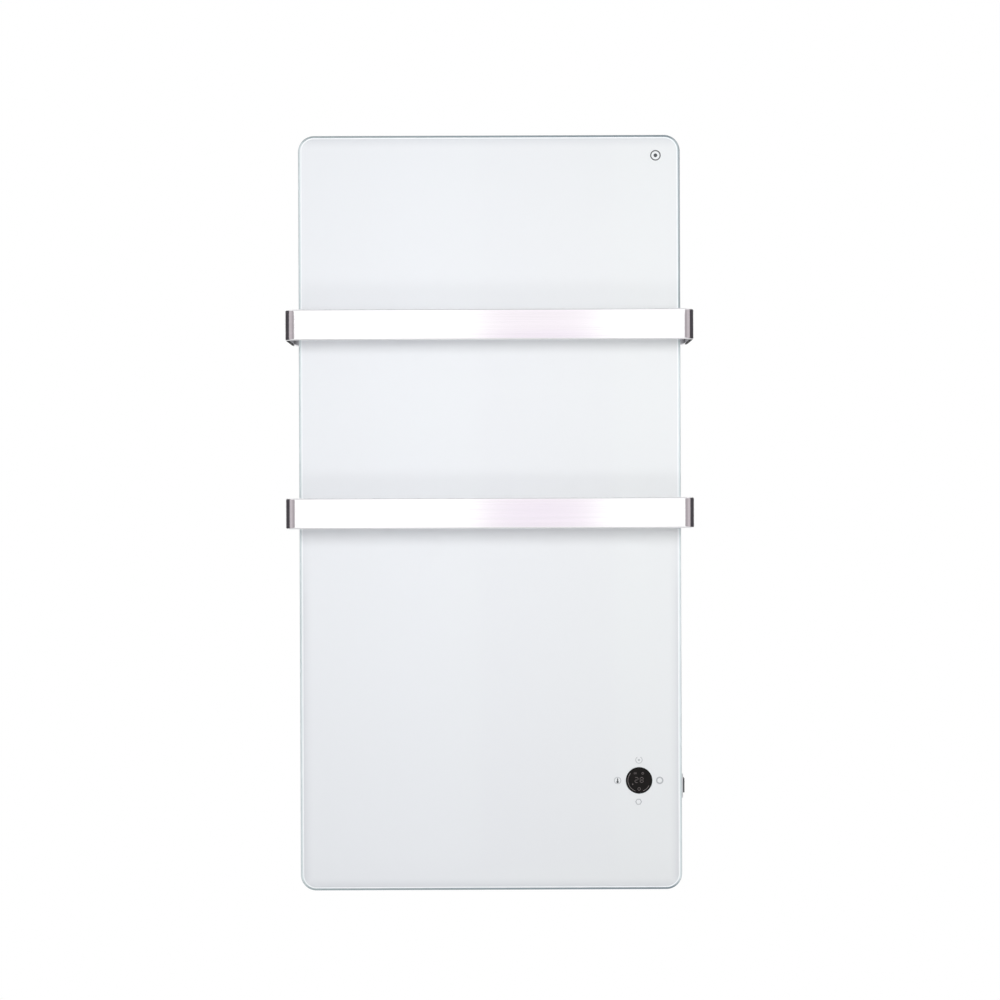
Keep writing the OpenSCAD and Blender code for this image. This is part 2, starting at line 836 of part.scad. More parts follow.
// Grey surround: a block with four sloping faces, open in the middle for the switch's rim
module switch_surround() {
    color("#d0d2d5") at_switch() translate([0, 0, casing_side]) difference() {
        intersection() {
            rotate([90, 0, 0]) linear_extrude(surround_w, center = true)
                slope_section(surround_h / 2);
            rotate([90, 0, 90]) linear_extrude(surround_h, center = true)
                slope_section(surround_w / 2);
        }
        linear_extrude(3 * surround_out, center = true)
            square(2 * [switch_rim_half_h + switch_fit, switch_rim_half_w + switch_fit],
                center = true);
        linear_extrude(2 * switch_flange_t, center = true)
            square(2 * [switch_half_h + switch_flange_rim + switch_fit,
                switch_half_w + switch_flange_rim + switch_fit], center = true);
    }
}

// Upright trapezium that stands out by the surround's height
module slope_section(half) {
    slope = min(surround_slope, half - switch_rim_half_w - switch_fit - 1);
    polygon([[-half, 0], [half, 0], [half - slope, surround_out], [slope - half, surround_out]]);
}

// Black switch body through the casing's side. Its thin flange lies under the surround, and the
// rim round the rocker stands out of it
module switch_body() {
    color("#1c1c1e") at_switch() difference() {
        union() {
            translate([0, 0, switch_back]) linear_extrude(casing_side - switch_back)
                square([2 * switch_half_h, 2 * switch_half_w], center = true);
            translate([0, 0, casing_side]) linear_extrude(switch_flange_t)
                square(2 * [switch_half_h + switch_flange_rim, switch_half_w + switch_flange_rim],
                    center = true);
            translate([0, 0, casing_side]) linear_extrude(switch_rim_top - casing_side)
                square([2 * switch_rim_half_h, 2 * switch_rim_half_w], center = true);
        }
        translate([0, 0, well_floor]) linear_extrude(switch_rim_top)
            square([2 * well_half_h, 2 * well_half_w], center = true);
        translate([0, 0, pivot_x]) rotate([90, 0, 0])
            cylinder(r = rocker_pin_r, h = 3 * switch_half_w, center = true);
    }
}

module at_switch_blades() {
    for (side = [-1, 1])
        translate([side * blade_pitch / 2, 0, switch_back - blade_l]) children();
}

module switch_terminals() {
    color("#c9b27a") at_switch() at_switch_blades() translate([0, 0, blade_l / 2])
        cube([blade_t, blade_w, blade_l], center = true);
}

module rocker_pin() {
    color(zinc) at_switch() translate([0, 0, pivot_x]) rotate([90, 0, 0])
        cylinder(r = rocker_pin_r, h = 2 * switch_half_w, center = true);
}

// Rocker with a shallow valley across its face, stored with its lower end pressed in
module rocker() {
    half = rocker_half_h;
    color("#2a2b2e") at_switch() translate([0, 0, pivot_x]) rotate([0, -rocker_tilt, 0])
        difference() {
            rotate([90, 0, 0]) linear_extrude(rocker_w, center = true) polygon([
                [-half, rocker_valley + rocker_rise],
                [0, rocker_valley],
                [half, rocker_valley + rocker_rise],
                [0.92 * half, rocker_shoulder],
                [0.4 * half, -rocker_belly],
                [-0.4 * half, -rocker_belly],
                [-0.92 * half, rocker_shoulder]
            ]);
            rotate([90, 0, 0])
                cylinder(r = rocker_pin_r + pin_play, h = rocker_w + 2, center = true);
        }
}

module at_box_screws() {
    for (side = [-1, 1])
        translate([box_x + side * boss_x, box_z, 0]) children();
}

module at_board_posts() {
    for (x = [-1, 1], z = [-1, 1])
        translate([box_x + x * (power_board_w / 2 - post_inset),
            box_z + z * (power_board_h / 2 - post_inset), 0]) children();
}

// Open plastic box on the casing's back, with posts for the board and notches for the wires
module control_box() {
    h = box_front - inner_depth;
    color("#e4e4e2") from_wall(inner_depth) difference() {
        union() {
            translate([box_x, box_z, 0]) difference() {
                linear_extrude(h) box_outline(0);
                translate([0, 0, box_wall]) linear_extrude(h) box_outline(box_wall);
            }
            at_board_posts() cylinder(r = post_r, h = box_wall + post_h);
            at_box_screws() cylinder(r = boss_r + lap, h = boss_h);
        }
        at_board_posts() translate([0, 0, box_wall])
            cylinder(r = board_screw_r + rivet_play, h = post_h + past);
        at_box_screws() translate([0, 0, -past])
            cylinder(r = box_screw_r + rivet_play, h = boss_h);
        translate([box_x, box_z, h])
            cube([box_w + 2 * past, notch_h, 2 * notch_depth], center = true);
        translate([ribbon_start_x, box_z + box_h / 2, h])
            cube([ribbon_notch_w, 4 * box_wall, 2 * notch_depth], center = true);
    }
}

// The box's outline, drawn in by the given distance
module box_outline(inset) {
    rounded_rect(box_w - 2 * inset, box_h - 2 * inset, max(box_corner_r - inset, 1));
}

module control_box_lid() {
    rim_inset = box_wall + lid_gap;
    color("#ececea") from_wall(box_front) translate([box_x, box_z, 0]) {
        linear_extrude(box_wall) box_outline(0);
        translate([0, 0, -lid_rim_h]) linear_extrude(lid_rim_h) difference() {
            box_outline(rim_inset);
            box_outline(rim_inset + lid_rim_t);
        }
    }
}

// Screws from behind the casing into the box's bosses
module box_screws() {
    color(zinc) from_wall(back_depth) at_box_screws()
        pan_screw(box_screw_r, small_head_r, small_head_h, sheet_t + boss_h - 1.5 * past);
}

module power_board() {
    color(board_green) from_wall(power_board_back) linear_extrude(board_t) difference() {
        translate([box_x, box_z]) square([power_board_w, power_board_h], center = true);
        at_board_posts() circle(board_screw_r + rivet_play);
    }
}

module board_screws() {
    length = board_t + post_h - past;
    color(zinc) from_wall(power_board_front) at_board_posts() mirror([0, 0, 1])
        pan_screw(board_screw_r, board_head_r, board_head_h, length);
}

// Height of each way of a terminal block, counted from the top one
function way_z(i) = box_z + (2.5 - i) * way_pitch;

// Two six-way blocks, with a screw well at each way
module terminal_blocks() {
    color("#3d7a52") from_wall(power_board_front) for (side = [-1, 1])
        translate([box_x + side * block_x, box_z, 0]) difference() {
            translate([-block_w / 2, -block_h / 2, 0]) cube([block_w, block_h, block_t]);
            for (i = [0 : 5])
                translate([0, way_z(i) - box_z, block_t - screw_well_h])
                    cylinder(r = screw_well_r, h = screw_well_h + past);
        }
}

module on_power_board(place) {
    from_wall(power_board_front) translate([box_x, box_z, 0] + place) children();
}

module relay() {
    color("#2458a8") on_power_board(relay_at) cube(relay_size);
}

module power_converter() {
    color("#1f2023") on_power_board(converter_at) cube(converter_size);
}

module filter_capacitor() {
    color("#c9a227") on_power_board(capacitor_at) cube(capacitor_size);
}

// Glass cartridge in two spring clips
module fuse() {
    color("#cfd8da") on_power_board(fuse_at) {
        translate([0, 0, fuse_axis_h]) rotate([0, 90, 0]) cylinder(r = fuse_r, h = fuse_l);
        for (x = [fuse_clip_end, fuse_l - fuse_clip_end - fuse_clip.x])
            translate([x, -fuse_clip.y / 2, 0]) cube(fuse_clip);
    }
}

// Flat ribbon from the power board, out through the box's top and along to the display board
module display_ribbon() {
    across = ribbon_port_x - ribbon_start_x;
    color("#8d9096") from_wall() {
        translate([ribbon_start_x - ribbon_w / 2, ribbon_start_z, power_board_front])
            cube([ribbon_w, ribbon_t, ribbon_depth - power_board_front]);
        translate([ribbon_start_x - ribbon_w / 2, ribbon_start_z, ribbon_depth])
            cube([ribbon_w, ribbon_z + ribbon_w / 2 - ribbon_start_z, ribbon_t]);
        translate([ribbon_start_x - ribbon_w / 2, ribbon_z - ribbon_w / 2, ribbon_depth])
            cube([across + ribbon_w / 2, ribbon_w, ribbon_t]);
        translate([ribbon_port_x - ribbon_t, ribbon_z - ribbon_w / 2, ribbon_depth])
            cube([ribbon_t, ribbon_w, board_back - ribbon_depth]);
    }
}

module switch_wires() {
    start_x = box_x + power_board_w / 2;
    end_x = switch_back - blade_l;
    color("#7a3b2e") for (i = [1, 2]) {
        z = switch_z + (1.5 - i) * blade_pitch;
        wire([
            [start_x, way_z(i), wire_depth],
            [earth_x - earth_box_gap / 2, way_z(i), wire_depth],
            [earth_x + wire_turn, z, switch_depth],
            [end_x, z, switch_depth]
        ]);
    }
}

// A lead to each copper strip, which rises beside the box and ends on the strip's tab
module element_leads() {
    start_x = power_board_w / 2;
    rise_x = box_w / 2 + wire_lift;
    level = film_foot - busbar_tab_h - wire_lift;
    tab_z = film_foot - busbar_tab_h / 2;
    color("#b0302a") for (side = [-1, 1])
        wire([
            [box_x + side * start_x, way_z(0), wire_depth],
            [box_x + side * rise_x, way_z(0), wire_depth],
            [box_x + side * rise_x, level, wire_depth],
            [side * busbar_x, level, wire_depth],
            [side * busbar_x, tab_z, wire_depth + wire_clear],
            [side * busbar_x, tab_z, film_back - busbar_t]
        ]);
}

// Both cut-outs in one line: up to the upper one, down to the lower one and back to the box
module cutout_wires() {
    start_x = box_x - power_board_w / 2;
    out_x = -cutout_x - wire_clear;
    blade_depth = cutout_back - cutout_blade.z;
    upper_z = upper_cutout_z - cutout_pitch / 2;
    lower_z = lower_cutout_z + cutout_pitch / 2;
    color("#d8d9dc") {
        wire([
            [start_x, way_z(1), wire_depth],
            [out_x, way_z(1), wire_depth],
            [out_x, way_z(1) + 5 * wire_clear, wire_back_depth],
            [out_x, upper_z + cutout_pitch, wire_back_depth],
            [-cutout_x, upper_z + cutout_pitch, wire_back_depth],
            [-cutout_x, upper_z + cutout_pitch, blade_depth]
        ]);
        wire([
            [-cutout_x, upper_z, blade_depth],
            [-cutout_x, upper_z, wire_back_depth],
            [-cutout_x, lower_z, wire_back_depth],
            [-cutout_x, lower_z, blade_depth]
        ]);
        wire([
            [-cutout_x, lower_z - cutout_pitch, blade_depth],
            [-cutout_x, lower_z - cutout_pitch, wire_back_depth],
            [-cutout_x, way_z(3), wire_back_depth],
            [-cutout_x, way_z(3), wire_depth],
            [start_x, way_z(3), wire_depth]
        ]);
    }
}

module earth_wire() {
    start_x = box_x + power_board_w / 2;
    low = inner_depth + ring_t + wire_r;
    color("#8fae3a") wire([
        [start_x, way_z(3), wire_depth],
        [earth_x, way_z(3), wire_depth],
        [earth_x, way_z(3) - wire_turn, (wire_depth + low) / 2],
        [earth_x, earth_z + ring_tab.y + wire_bend, low],
        [earth_x, earth_z + ring_tab.y / 2, low]
    ]);
}

// Threaded stud welded to the inside of the casing's back
module earth_stud() {
    color(zinc) from_wall(inner_depth) translate([earth_x, earth_z, 0])
        cylinder(r = earth_r, h = earth_stud_l);
}

module ring_terminal() {
    color(copper) from_wall(inner_depth) translate([earth_x, earth_z, 0]) linear_extrude(ring_t)
        difference() {
            union() {
                circle(2.4 * earth_r);
                translate([-ring_tab.x / 2, 0]) square(ring_tab);
            }
            circle(earth_r + rivet_play);
        }
}

module earth_nut() {
    color(zinc) from_wall(inner_depth + ring_t) translate([earth_x, earth_z, 0])
        linear_extrude(earth_nut_t) difference() {
            circle(2 * earth_r, $fn = 6);
            circle(earth_r + rivet_play);
        }
}

// Probe that looks out of the casing's underside and reads the room's air
module air_sensor() {
    color(zinc) translate([sensor_x, -sensor_depth, -casing_h / 2 - sensor_out])
        cylinder(r = sensor_r, h = sensor_l);
}

module sensor_grommet() {
    color("#2b2b2d") translate([sensor_x, -sensor_depth, -casing_h / 2]) difference() {
        union() {
            translate([0, 0, -grommet_rim])
                cylinder(r = sensor_r + grommet_lip + grommet_rim, h = grommet_rim);
            cylinder(r = sensor_r + grommet_lip, h = sheet_t);
            translate([0, 0, sheet_t])
                cylinder(r = sensor_r + grommet_lip + grommet_rim, h = grommet_lip);
        }
        translate([0, 0, -grommet_rim - past])
            cylinder(r = sensor_r, h = sheet_t + grommet_lip + grommet_rim + 2 * past);
    }
}

module sensor_wire() {
    start_x = box_x - power_board_w / 2;
    color("#d8d9dc") wire([
        [start_x, way_z(4), wire_depth],
        [sensor_x, way_z(4), wire_depth],
        [sensor_x, way_z(4) - sensor_wire_drop, sensor_depth],
        [sensor_x, -casing_h / 2 - sensor_out + sensor_l, sensor_depth]
    ]);
}

module at_hood_screws() {
    for (side = [-1, 1])
        translate([hood_x + side * (hood_w + lug_w) / 2, hood_z, 0]) children();
}

// Hood behind the casing: the supply cable enters from below and turns forward into the casing
module cable_hood() {
    color("#e4e4e2") difference() {
        from_wall() {
            translate([hood_x, hood_z, hood_back]) linear_extrude(hood_depth)
                rounded_rect(hood_w, hood_h, hood_corner_r);
            translate([hood_x, hood_z, back_depth - lug_t]) linear_extrude(lug_t)
                rounded_rect(hood_w + 2 * lug_w, lug_h, hood_corner_r);
        }
        from_wall(back_depth - lug_t - past) at_hood_screws()
            cylinder(r = hood_screw_r + bar_screw_gap, h = lug_t + 2 * past);
        translate([hood_x, -cable_depth, hood_foot - past])
            cylinder(r = cable_r, h = cable_bore_l + 2 * past);
        translate([hood_x - hood_room / 2, -back_depth - past, hood_foot + cable_bore_l])
            cube([hood_room, hood_depth - hood_back_t, hood_h - cable_bore_l - hood_top_t]);
    }
}

module hood_screws() {
    color(zinc) from_wall(back_depth - lug_t) at_hood_screws()
        pan_screw(hood_screw_r, small_head_r, small_head_h, lug_t + sheet_t + hood_screw_bite);
}

upper_wall_rail();
lower_wall_rail();
glass_panel();
glass_bond();
rear_casing();
upper_hanger_rail();
lower_hanger_rail();
hanger_rivets();
upper_towel_bar();
lower_towel_bar();
bar_backing_plates();
bar_screws();
bar_washers();
heating_film();
busbars();
insulation_board();
thermal_cutouts();
cutout_terminals();
display_window();
led_display();
display_board();
display_housing();
touch_pads();
switch_surround();
switch_body();
switch_terminals();
rocker_pin();
rocker();
control_box();
control_box_lid();
box_screws();
power_board();
board_screws();
terminal_blocks();
relay();
power_converter();
filter_capacitor();
fuse();
display_ribbon();
switch_wires();
element_leads();
cutout_wires();
earth_wire();
earth_stud();
ring_terminal();
earth_nut();
air_sensor();
sensor_grommet();
sensor_wire();
cable_hood();
hood_screws();
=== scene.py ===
import json
import math

import bmesh
import bpy
from mathutils import Matrix, Vector

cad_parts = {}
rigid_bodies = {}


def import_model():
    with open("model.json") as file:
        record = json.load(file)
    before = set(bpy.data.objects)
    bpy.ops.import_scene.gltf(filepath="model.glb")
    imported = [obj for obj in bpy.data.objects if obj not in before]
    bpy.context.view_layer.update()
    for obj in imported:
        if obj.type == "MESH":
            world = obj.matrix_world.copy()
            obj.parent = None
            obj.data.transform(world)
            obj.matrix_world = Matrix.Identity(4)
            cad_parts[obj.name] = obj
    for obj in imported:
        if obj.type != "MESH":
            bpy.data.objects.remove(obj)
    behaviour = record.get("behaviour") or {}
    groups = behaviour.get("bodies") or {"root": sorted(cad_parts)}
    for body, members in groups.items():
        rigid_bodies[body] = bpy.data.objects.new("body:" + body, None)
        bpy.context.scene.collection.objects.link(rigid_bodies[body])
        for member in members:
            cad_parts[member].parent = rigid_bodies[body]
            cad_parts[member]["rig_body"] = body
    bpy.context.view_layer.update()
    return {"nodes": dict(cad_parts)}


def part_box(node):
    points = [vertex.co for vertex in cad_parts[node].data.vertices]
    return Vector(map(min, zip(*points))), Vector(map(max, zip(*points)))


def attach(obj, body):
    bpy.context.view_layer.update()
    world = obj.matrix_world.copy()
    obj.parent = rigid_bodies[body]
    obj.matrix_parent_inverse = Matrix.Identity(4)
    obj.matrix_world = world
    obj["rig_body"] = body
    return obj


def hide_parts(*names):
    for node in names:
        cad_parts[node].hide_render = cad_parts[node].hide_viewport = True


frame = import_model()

# Camera
# The photograph is taken from straight in front, two metres away and level with the middle of
# the panel, with a short telephoto lens.
camera_place = (0.0084, -2.0019, 0.0180)
camera_yaw = math.radians(0.078)
camera_pitch = math.radians(-0.107)
camera_roll = math.radians(-0.214)

camera = bpy.data.objects.new("camera", bpy.data.cameras.new("camera"))
camera.data.sensor_width = 36
camera.data.lens = 62.285
camera.matrix_world = (
    Matrix.Translation(camera_place)
    @ Matrix.Rotation(-camera_yaw, 4, "Z")
    @ Matrix.Rotation(math.radians(90) + camera_pitch, 4, "X")
    @ Matrix.Rotation(camera_roll, 4, "Z")
)
bpy.context.scene.collection.objects.link(camera)
bpy.context.scene.camera = camera

# Wall rails
# Two rails of folded steel, 2 mm thick and zinc plated after punching. Each is screwed to the
# wall through two holes, and the heater hooks over its lip.
mm = 0.001
weld = 0.002 * mm


def linear(hex_colour):
    """An sRGB hex colour as linear red, green, blue and alpha."""
    levels = [int(hex_colour[i:i + 2], 16) / 255 for i in (1, 3, 5)]
    return [c / 12.92 if c <= 0.04045 else ((c + 0.055) / 1.055) ** 2.4 for c in levels] + [1]


def add(tree, kind, inputs=None, **settings):
    """Adds a node with its settings. Each input gets a value, or a link from a socket."""
    made = tree.nodes.new(kind)
    for name, value in settings.items():
        setattr(made, name, value)
    for name, value in (inputs or {}).items():
        if isinstance(value, bpy.types.NodeSocket):
            tree.links.new(value, made.inputs[name])
        else:
            made.inputs[name].default_value = value
    return made


def surface(name, **inputs):
    """A material with one surface shader, whose inputs are given by name."""
    made = bpy.data.materials.new(name)
    made.use_nodes = True
    made.node_tree.nodes.clear()
    shader = add(made.node_tree, "ShaderNodeBsdfPrincipled")
    for key, value in inputs.items():
        shader.inputs[key.replace("_", " ")].default_value = value
    add(made.node_tree, "ShaderNodeOutputMaterial", {"Surface": shader.outputs["BSDF"]})
    return made, made.node_tree, shader


def place_on(tree, stretch=(1, 1, 1)):
    """The piece's own coordinates in metres, multiplied along each axis."""
    where = add(tree, "ShaderNodeTexCoord").outputs["Object"]
    return add(tree, "ShaderNodeMapping", {"Vector": where, "Scale": stretch}).outputs["Vector"]


def spread(tree, value, low, high):
    """Stretches a pattern's middle range over the range from low to high."""
    return add(tree, "ShaderNodeMapRange", {
        "Value": value, "From Min": 0.3, "From Max": 0.7, "To Min": low, "To Max": high,
    }).outputs["Result"]


def paint(tree, shader, share, *colours):
    """Colours the surface with two colours, mixed by a share from 0 to 1. Each is a hex colour or
    comes from a socket."""
    first, second = [linear(c) if isinstance(c, str) else c for c in colours]
    mixed = add(tree, "ShaderNodeMix", {"Factor": share, "A": first, "B": second},
                data_type="RGBA")
    tree.links.new(mixed.outputs["Result"], shader.inputs["Base Color"])


def relief(tree, shader, height, depth):
    """Gives the surface a relief of the given depth in metres."""
    bump = add(tree, "ShaderNodeBump", {"Height": height, "Distance": depth, "Strength": 1})
    tree.links.new(bump.outputs["Normal"], shader.inputs["Normal"])


def soft_copy(node, edge, sharper_than=30):
    """A copy of a CAD piece, its edges rounded to the radius that its making leaves on them. The
    flats beside them keep shading flat."""
    bm = bmesh.new()
    bm.from_mesh(frame["nodes"][node].data)
    bmesh.ops.remove_doubles(bm, verts=bm.verts, dist=weld)
    bmesh.ops.dissolve_limit(bm, angle_limit=math.radians(0.5), verts=bm.verts, edges=bm.edges)
    corners = [
        e for e in bm.edges
        if e.is_manifold and abs(e.calc_face_angle(0)) > math.radians(sharper_than)
    ]
    bmesh.ops.bevel(bm, geom=corners, offset=edge, segments=2, profile=0.5, affect="EDGES",
                    clamp_overlap=True)
    made = fitted(node + "_finished", bm, frame["nodes"][node]["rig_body"], node)
    level = made.modifiers.new("level_flats", "WEIGHTED_NORMAL")
    level.keep_sharp = True
    return made


def fitted(name, bm, body, *nodes, slot=None, turn=35):
    """Makes a piece of a mesh. It rides on a body and stands for CAD nodes. Its slot argument is not
    used.
    """
    mesh = bpy.data.meshes.new(name)
    bm.to_mesh(mesh)
    bm.free()
    mesh.shade_smooth()
    mesh.set_sharp_from_angle(angle=math.radians(turn))
    made = bpy.data.objects.new(name, mesh)
    bpy.context.scene.collection.objects.link(made)
    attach(made, body)
    if nodes:
        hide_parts(*nodes)
    return made


def dress(material, *pieces):
    """Puts a material on pieces, given as objects or as names of CAD nodes."""
    for piece in pieces:
        made = frame["nodes"][piece] if isinstance(piece, str) else piece
        if not made.material_slots:
            made.data.materials.append(material)
        for held in made.material_slots:
            held.material = material


def zinc_plated_steel():
    """Electroplated zinc, passivated: a cool grey with faint yellowish clouds and soft gloss."""
    made, tree, shader = surface("zinc_plated_steel", Metallic=1)
    clouds = add(tree, "ShaderNodeTexNoise", {"Vector": place_on(tree), "Scale": 60, "Detail": 3})
    grain = add(tree, "ShaderNodeTexNoise", {"Vector": place_on(tree), "Scale": 900, "Detail": 2})
    paint(tree, shader, spread(tree, clouds.outputs["Fac"], 0, 1), "#B4BAC2", "#C6C5BE")
    tree.links.new(spread(tree, clouds.outputs["Fac"], 0.3, 0.42), shader.inputs["Roughness"])
    relief(tree, shader, grain.outputs["Fac"], 0.02 * mm)
    return made


zinc = zinc_plated_steel()
for rail in ("upper_wall_rail", "lower_wall_rail"):
    dress(zinc, soft_copy(rail, 0.35 * mm))

# Rear casing
# A tray of 1 mm steel with its edges folded to the front, spot welded at the corners and powder
# coated in white. It carries everything else.


def powder_coat():
    """Baked powder: white, half matt, with the slight orange peel that it flows out to."""
    made, tree, shader = surface("white_powder_coat", Base_Color=linear("#E6E7EA"), IOR=1.5)
    peel = add(tree, "ShaderNodeTexNoise", {"Vector": place_on(tree), "Scale": 450, "Detail": 1})
    tree.links.new(spread(tree, peel.outputs["Fac"], 0.34, 0.42), shader.inputs["Roughness"])
    relief(tree, shader, peel.outputs["Fac"], 0.03 * mm)
    return made


dress(powder_coat(), soft_copy("rear_casing", 0.2 * mm))

# Hanger rails
# Two more plated rails, riveted to the back of the casing. Their lips hang behind the lips of the
# wall rails.
for rail in ("upper_hanger_rail", "lower_hanger_rail"):
    dress(zinc, soft_copy(rail, 0.35 * mm))

# Blind rivets
# Six plated blind rivets. Each has a domed head on the rail, with the broken end of its mandrel
# in the middle, and a squeezed tail inside the casing.
rivet_r = 2 * mm
rivet_head_r = 4 * mm
rivet_head_h = 1.2 * mm
turn_steps = 24


def node_group(name, **sockets):
    """A Geometry Nodes group with inputs of the given names and kinds."""
    tree = bpy.data.node_groups.new(name, "GeometryNodeTree")
    for key, kind in sockets.items():
        tree.interface.new_socket(key, in_out="INPUT", socket_type="NodeSocket" + kind)
    tree.interface.new_socket("Made", in_out="OUTPUT", socket_type="NodeSocketGeometry")
    return tree, add(tree, "NodeGroupInput").outputs


def hand_out(tree, geometry, material):
    """Ends a group: makes its geometry real and gives it the material."""
    whole = add(tree, "GeometryNodeRealizeInstances", {"Geometry": geometry})
    finished = add(tree, "GeometryNodeSetMaterial", {
        "Geometry": whole.outputs["Geometry"], "Material": material,
    })
    add(tree, "NodeGroupOutput", {"Made": finished.outputs["Geometry"]})


def fastener_tree():
    """Sets a fastener on each place, turned at random about its own axis."""
    tree, given = node_group("fasteners", Places="Geometry", Fastener="Object", Seed="Int",
                             Finish="Material")
    one = add(tree, "GeometryNodeObjectInfo", {"Object": given["Fastener"]})
    turn = add(tree, "FunctionNodeRandomValue", {
        "Min": (0, 0, 0), "Max": (0, math.radians(360), 0), "Seed": given["Seed"],
    }, data_type="FLOAT_VECTOR")
    placed = add(tree, "GeometryNodeInstanceOnPoints", {
        "Points": given["Places"], "Instance": one.outputs["Geometry"],
        "Rotation": turn.outputs["Value"],
    })
    hand_out(tree, placed.outputs["Instances"], given["Finish"])
    return tree


def grown(name, tree, mesh, **inputs):
    """Runs a tree on a mesh, with its inputs given by name, and returns what it makes."""
    host = bpy.data.objects.new(name, mesh)
    bpy.context.scene.collection.objects.link(host)
    modifier = host.modifiers.new(name, "NODES")
    modifier.node_group = tree
    for item in tree.interface.items_tree:
        if item.in_out == "INPUT" and item.name in inputs:
            modifier[item.identifier] = inputs[item.name]
    shown = host.evaluated_get(bpy.context.evaluated_depsgraph_get())
    made = bpy.data.meshes.new_from_object(shown)
    bpy.data.objects.remove(host)
    bm = bmesh.new()
    bm.from_mesh(made)
    bmesh.ops.remove_doubles(bm, verts=bm.verts, dist=weld)
    bmesh.ops.recalc_face_normals(bm, faces=bm.faces)
    return bm


def turned(name, steps, looped=False):
    """Turns a piece about the Y axis from steps of depth and radius. A third value of 6 gives a
    ring with six flats. The ends are closed, or joined to each other when looped."""
    rings = []
    for depth, radius, *flats in steps:
        ring = []
        for i in range(turn_steps):
            a = 2 * math.pi * i / turn_steps
            r = radius
            if flats:
                half = math.pi / flats[0]
                r = radius / math.cos(a % (2 * half) - half)
            ring.append((r * math.cos(a), depth, r * math.sin(a)))
        rings.append(ring)
    bm = bmesh.new()
    loops = [[bm.verts.new(p) for p in ring] for ring in rings]
    pairs = list(zip(loops, loops[1:]))
    if looped:
        pairs.append((loops[-1], loops[0]))
    else:
        bm.faces.new(loops[0])
        bm.faces.new(loops[-1])
    for below, above in pairs:
        for i in range(turn_steps):
            j = (i + 1) % turn_steps
            bm.faces.new((below[i], below[j], above[j], above[i]))
    bmesh.ops.recalc_face_normals(bm, faces=bm.faces)
    mesh = bpy.data.meshes.new(name)
    bm.to_mesh(mesh)
    bm.free()
    made = bpy.data.objects.new(name, mesh)
    bpy.context.scene.collection.objects.link(made)
    return made


def solid_boxes(node):
    """The lowest and highest corner of each separate solid of a CAD node."""
    bm = bmesh.new()
    bm.from_mesh(frame["nodes"][node].data)
    bmesh.ops.remove_doubles(bm, verts=bm.verts, dist=weld)
    left = set(bm.verts)
    boxes = []
    while left:
        island = {left.pop()}
        edge = set(island)
        while edge:
            edge = {e.other_vert(v) for v in edge for e in v.link_edges} - island
            island |= edge
        left -= island
        boxes.append([Vector(pick(v.co[i] for v in island) for i in range(3))
                      for pick in (min, max)])
    bm.free()
    return sorted(boxes, key=lambda box: tuple(box[0]))


def set_of(node, depth, fastener, finish, seed=1):
    """Puts a fastener in the place of each solid of a CAD node, its seat at the given depth."""
    places = [((low.x + high.x) / 2, depth, (low.z + high.z) / 2)
              for low, high in solid_boxes(node)]
    spots = bpy.data.meshes.new(node + "_places")
    spots.from_pydata(places, [], [])
    shape = grown(node + "_set", fasteners, spots, Fastener=fastener, Seed=seed, Finish=finish)
    bpy.data.objects.remove(fastener)
    dress(finish, fitted(node + "_set", shape, "heater", node, turn=30))


def domed(radius, height, rim, until):
    """Steps of a dome above a rim, from its foot to the angle at which it is cut off."""
    steps = [(0, radius), (rim, radius)]
    for i in range(1, 6):
        a = math.radians(until) * i / 5
        steps.append((rim + (height - rim) * math.sin(a), radius * math.cos(a)))
    return steps


fasteners = fastener_tree()
rail_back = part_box("hanger_rivets")[1].y - rivet_head_h
rivet_tail = rail_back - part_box("hanger_rivets")[0].y
rivet = turned("rivet", [
    (-rivet_tail, 1.5 * mm), (-rivet_tail + 0.5 * mm, 2.6 * mm), (-rivet_tail + 1.2 * mm, 2.6 * mm),
    (-rivet_tail + 1.4 * mm, rivet_r), (0, rivet_r),
    *domed(rivet_head_r, rivet_head_h, 0.25 * mm, 65),
    (rivet_head_h, 1.25 * mm), (0.35 * mm, 1.15 * mm), (0.3 * mm, 0.95 * mm),
    (0.55 * mm, 0.85 * mm),
])
set_of("hanger_rivets", rail_back, rivet, zinc)

# Towel bars
# Flat aluminium bar, 34 by 4 mm, with rounded edges, bent twice at each side so that it ends
# behind the casing. The bars are polished lengthwise and anodised clear.
bar_height = 34 * mm
bar_thickness = 4 * mm
bar_edge = 1.8 * mm
bend_radius = 11.5 * mm
return_end = 162 * mm


def bar_tree():
    """Sweeps the flat section along a bar's path, whose corners are rounded first."""
    tree, given = node_group("flat_bar", Path="Geometry", Height="Float", Thickness="Float",
                             Edge="Float", Bend="Float", Finish="Material")
    line = add(tree, "GeometryNodeMeshToCurve", {"Mesh": given["Path"]})
    bends = add(tree, "GeometryNodeFilletCurve", {
        "Curve": line.outputs["Curve"], "Radius": given["Bend"], "Count": 24,
        "Limit Radius": True,
    }, mode="POLY")
    upright = add(tree, "GeometryNodeSetCurveNormal", {"Curve": bends.outputs["Curve"]},
                  mode="Z_UP")
    flat = add(tree, "GeometryNodeCurvePrimitiveQuadrilateral", {
        "Width": given["Thickness"], "Height": given["Height"],
    })
    section = add(tree, "GeometryNodeFilletCurve", {
        "Curve": flat.outputs["Curve"], "Radius": given["Edge"], "Count": 7,
        "Limit Radius": True,
    }, mode="POLY")
    swept = add(tree, "GeometryNodeCurveToMesh", {
        "Curve": upright.outputs["Curve"], "Profile Curve": section.outputs["Curve"],
        "Fill Caps": True,
    })
    hand_out(tree, swept.outputs["Mesh"], given["Finish"])
    return tree


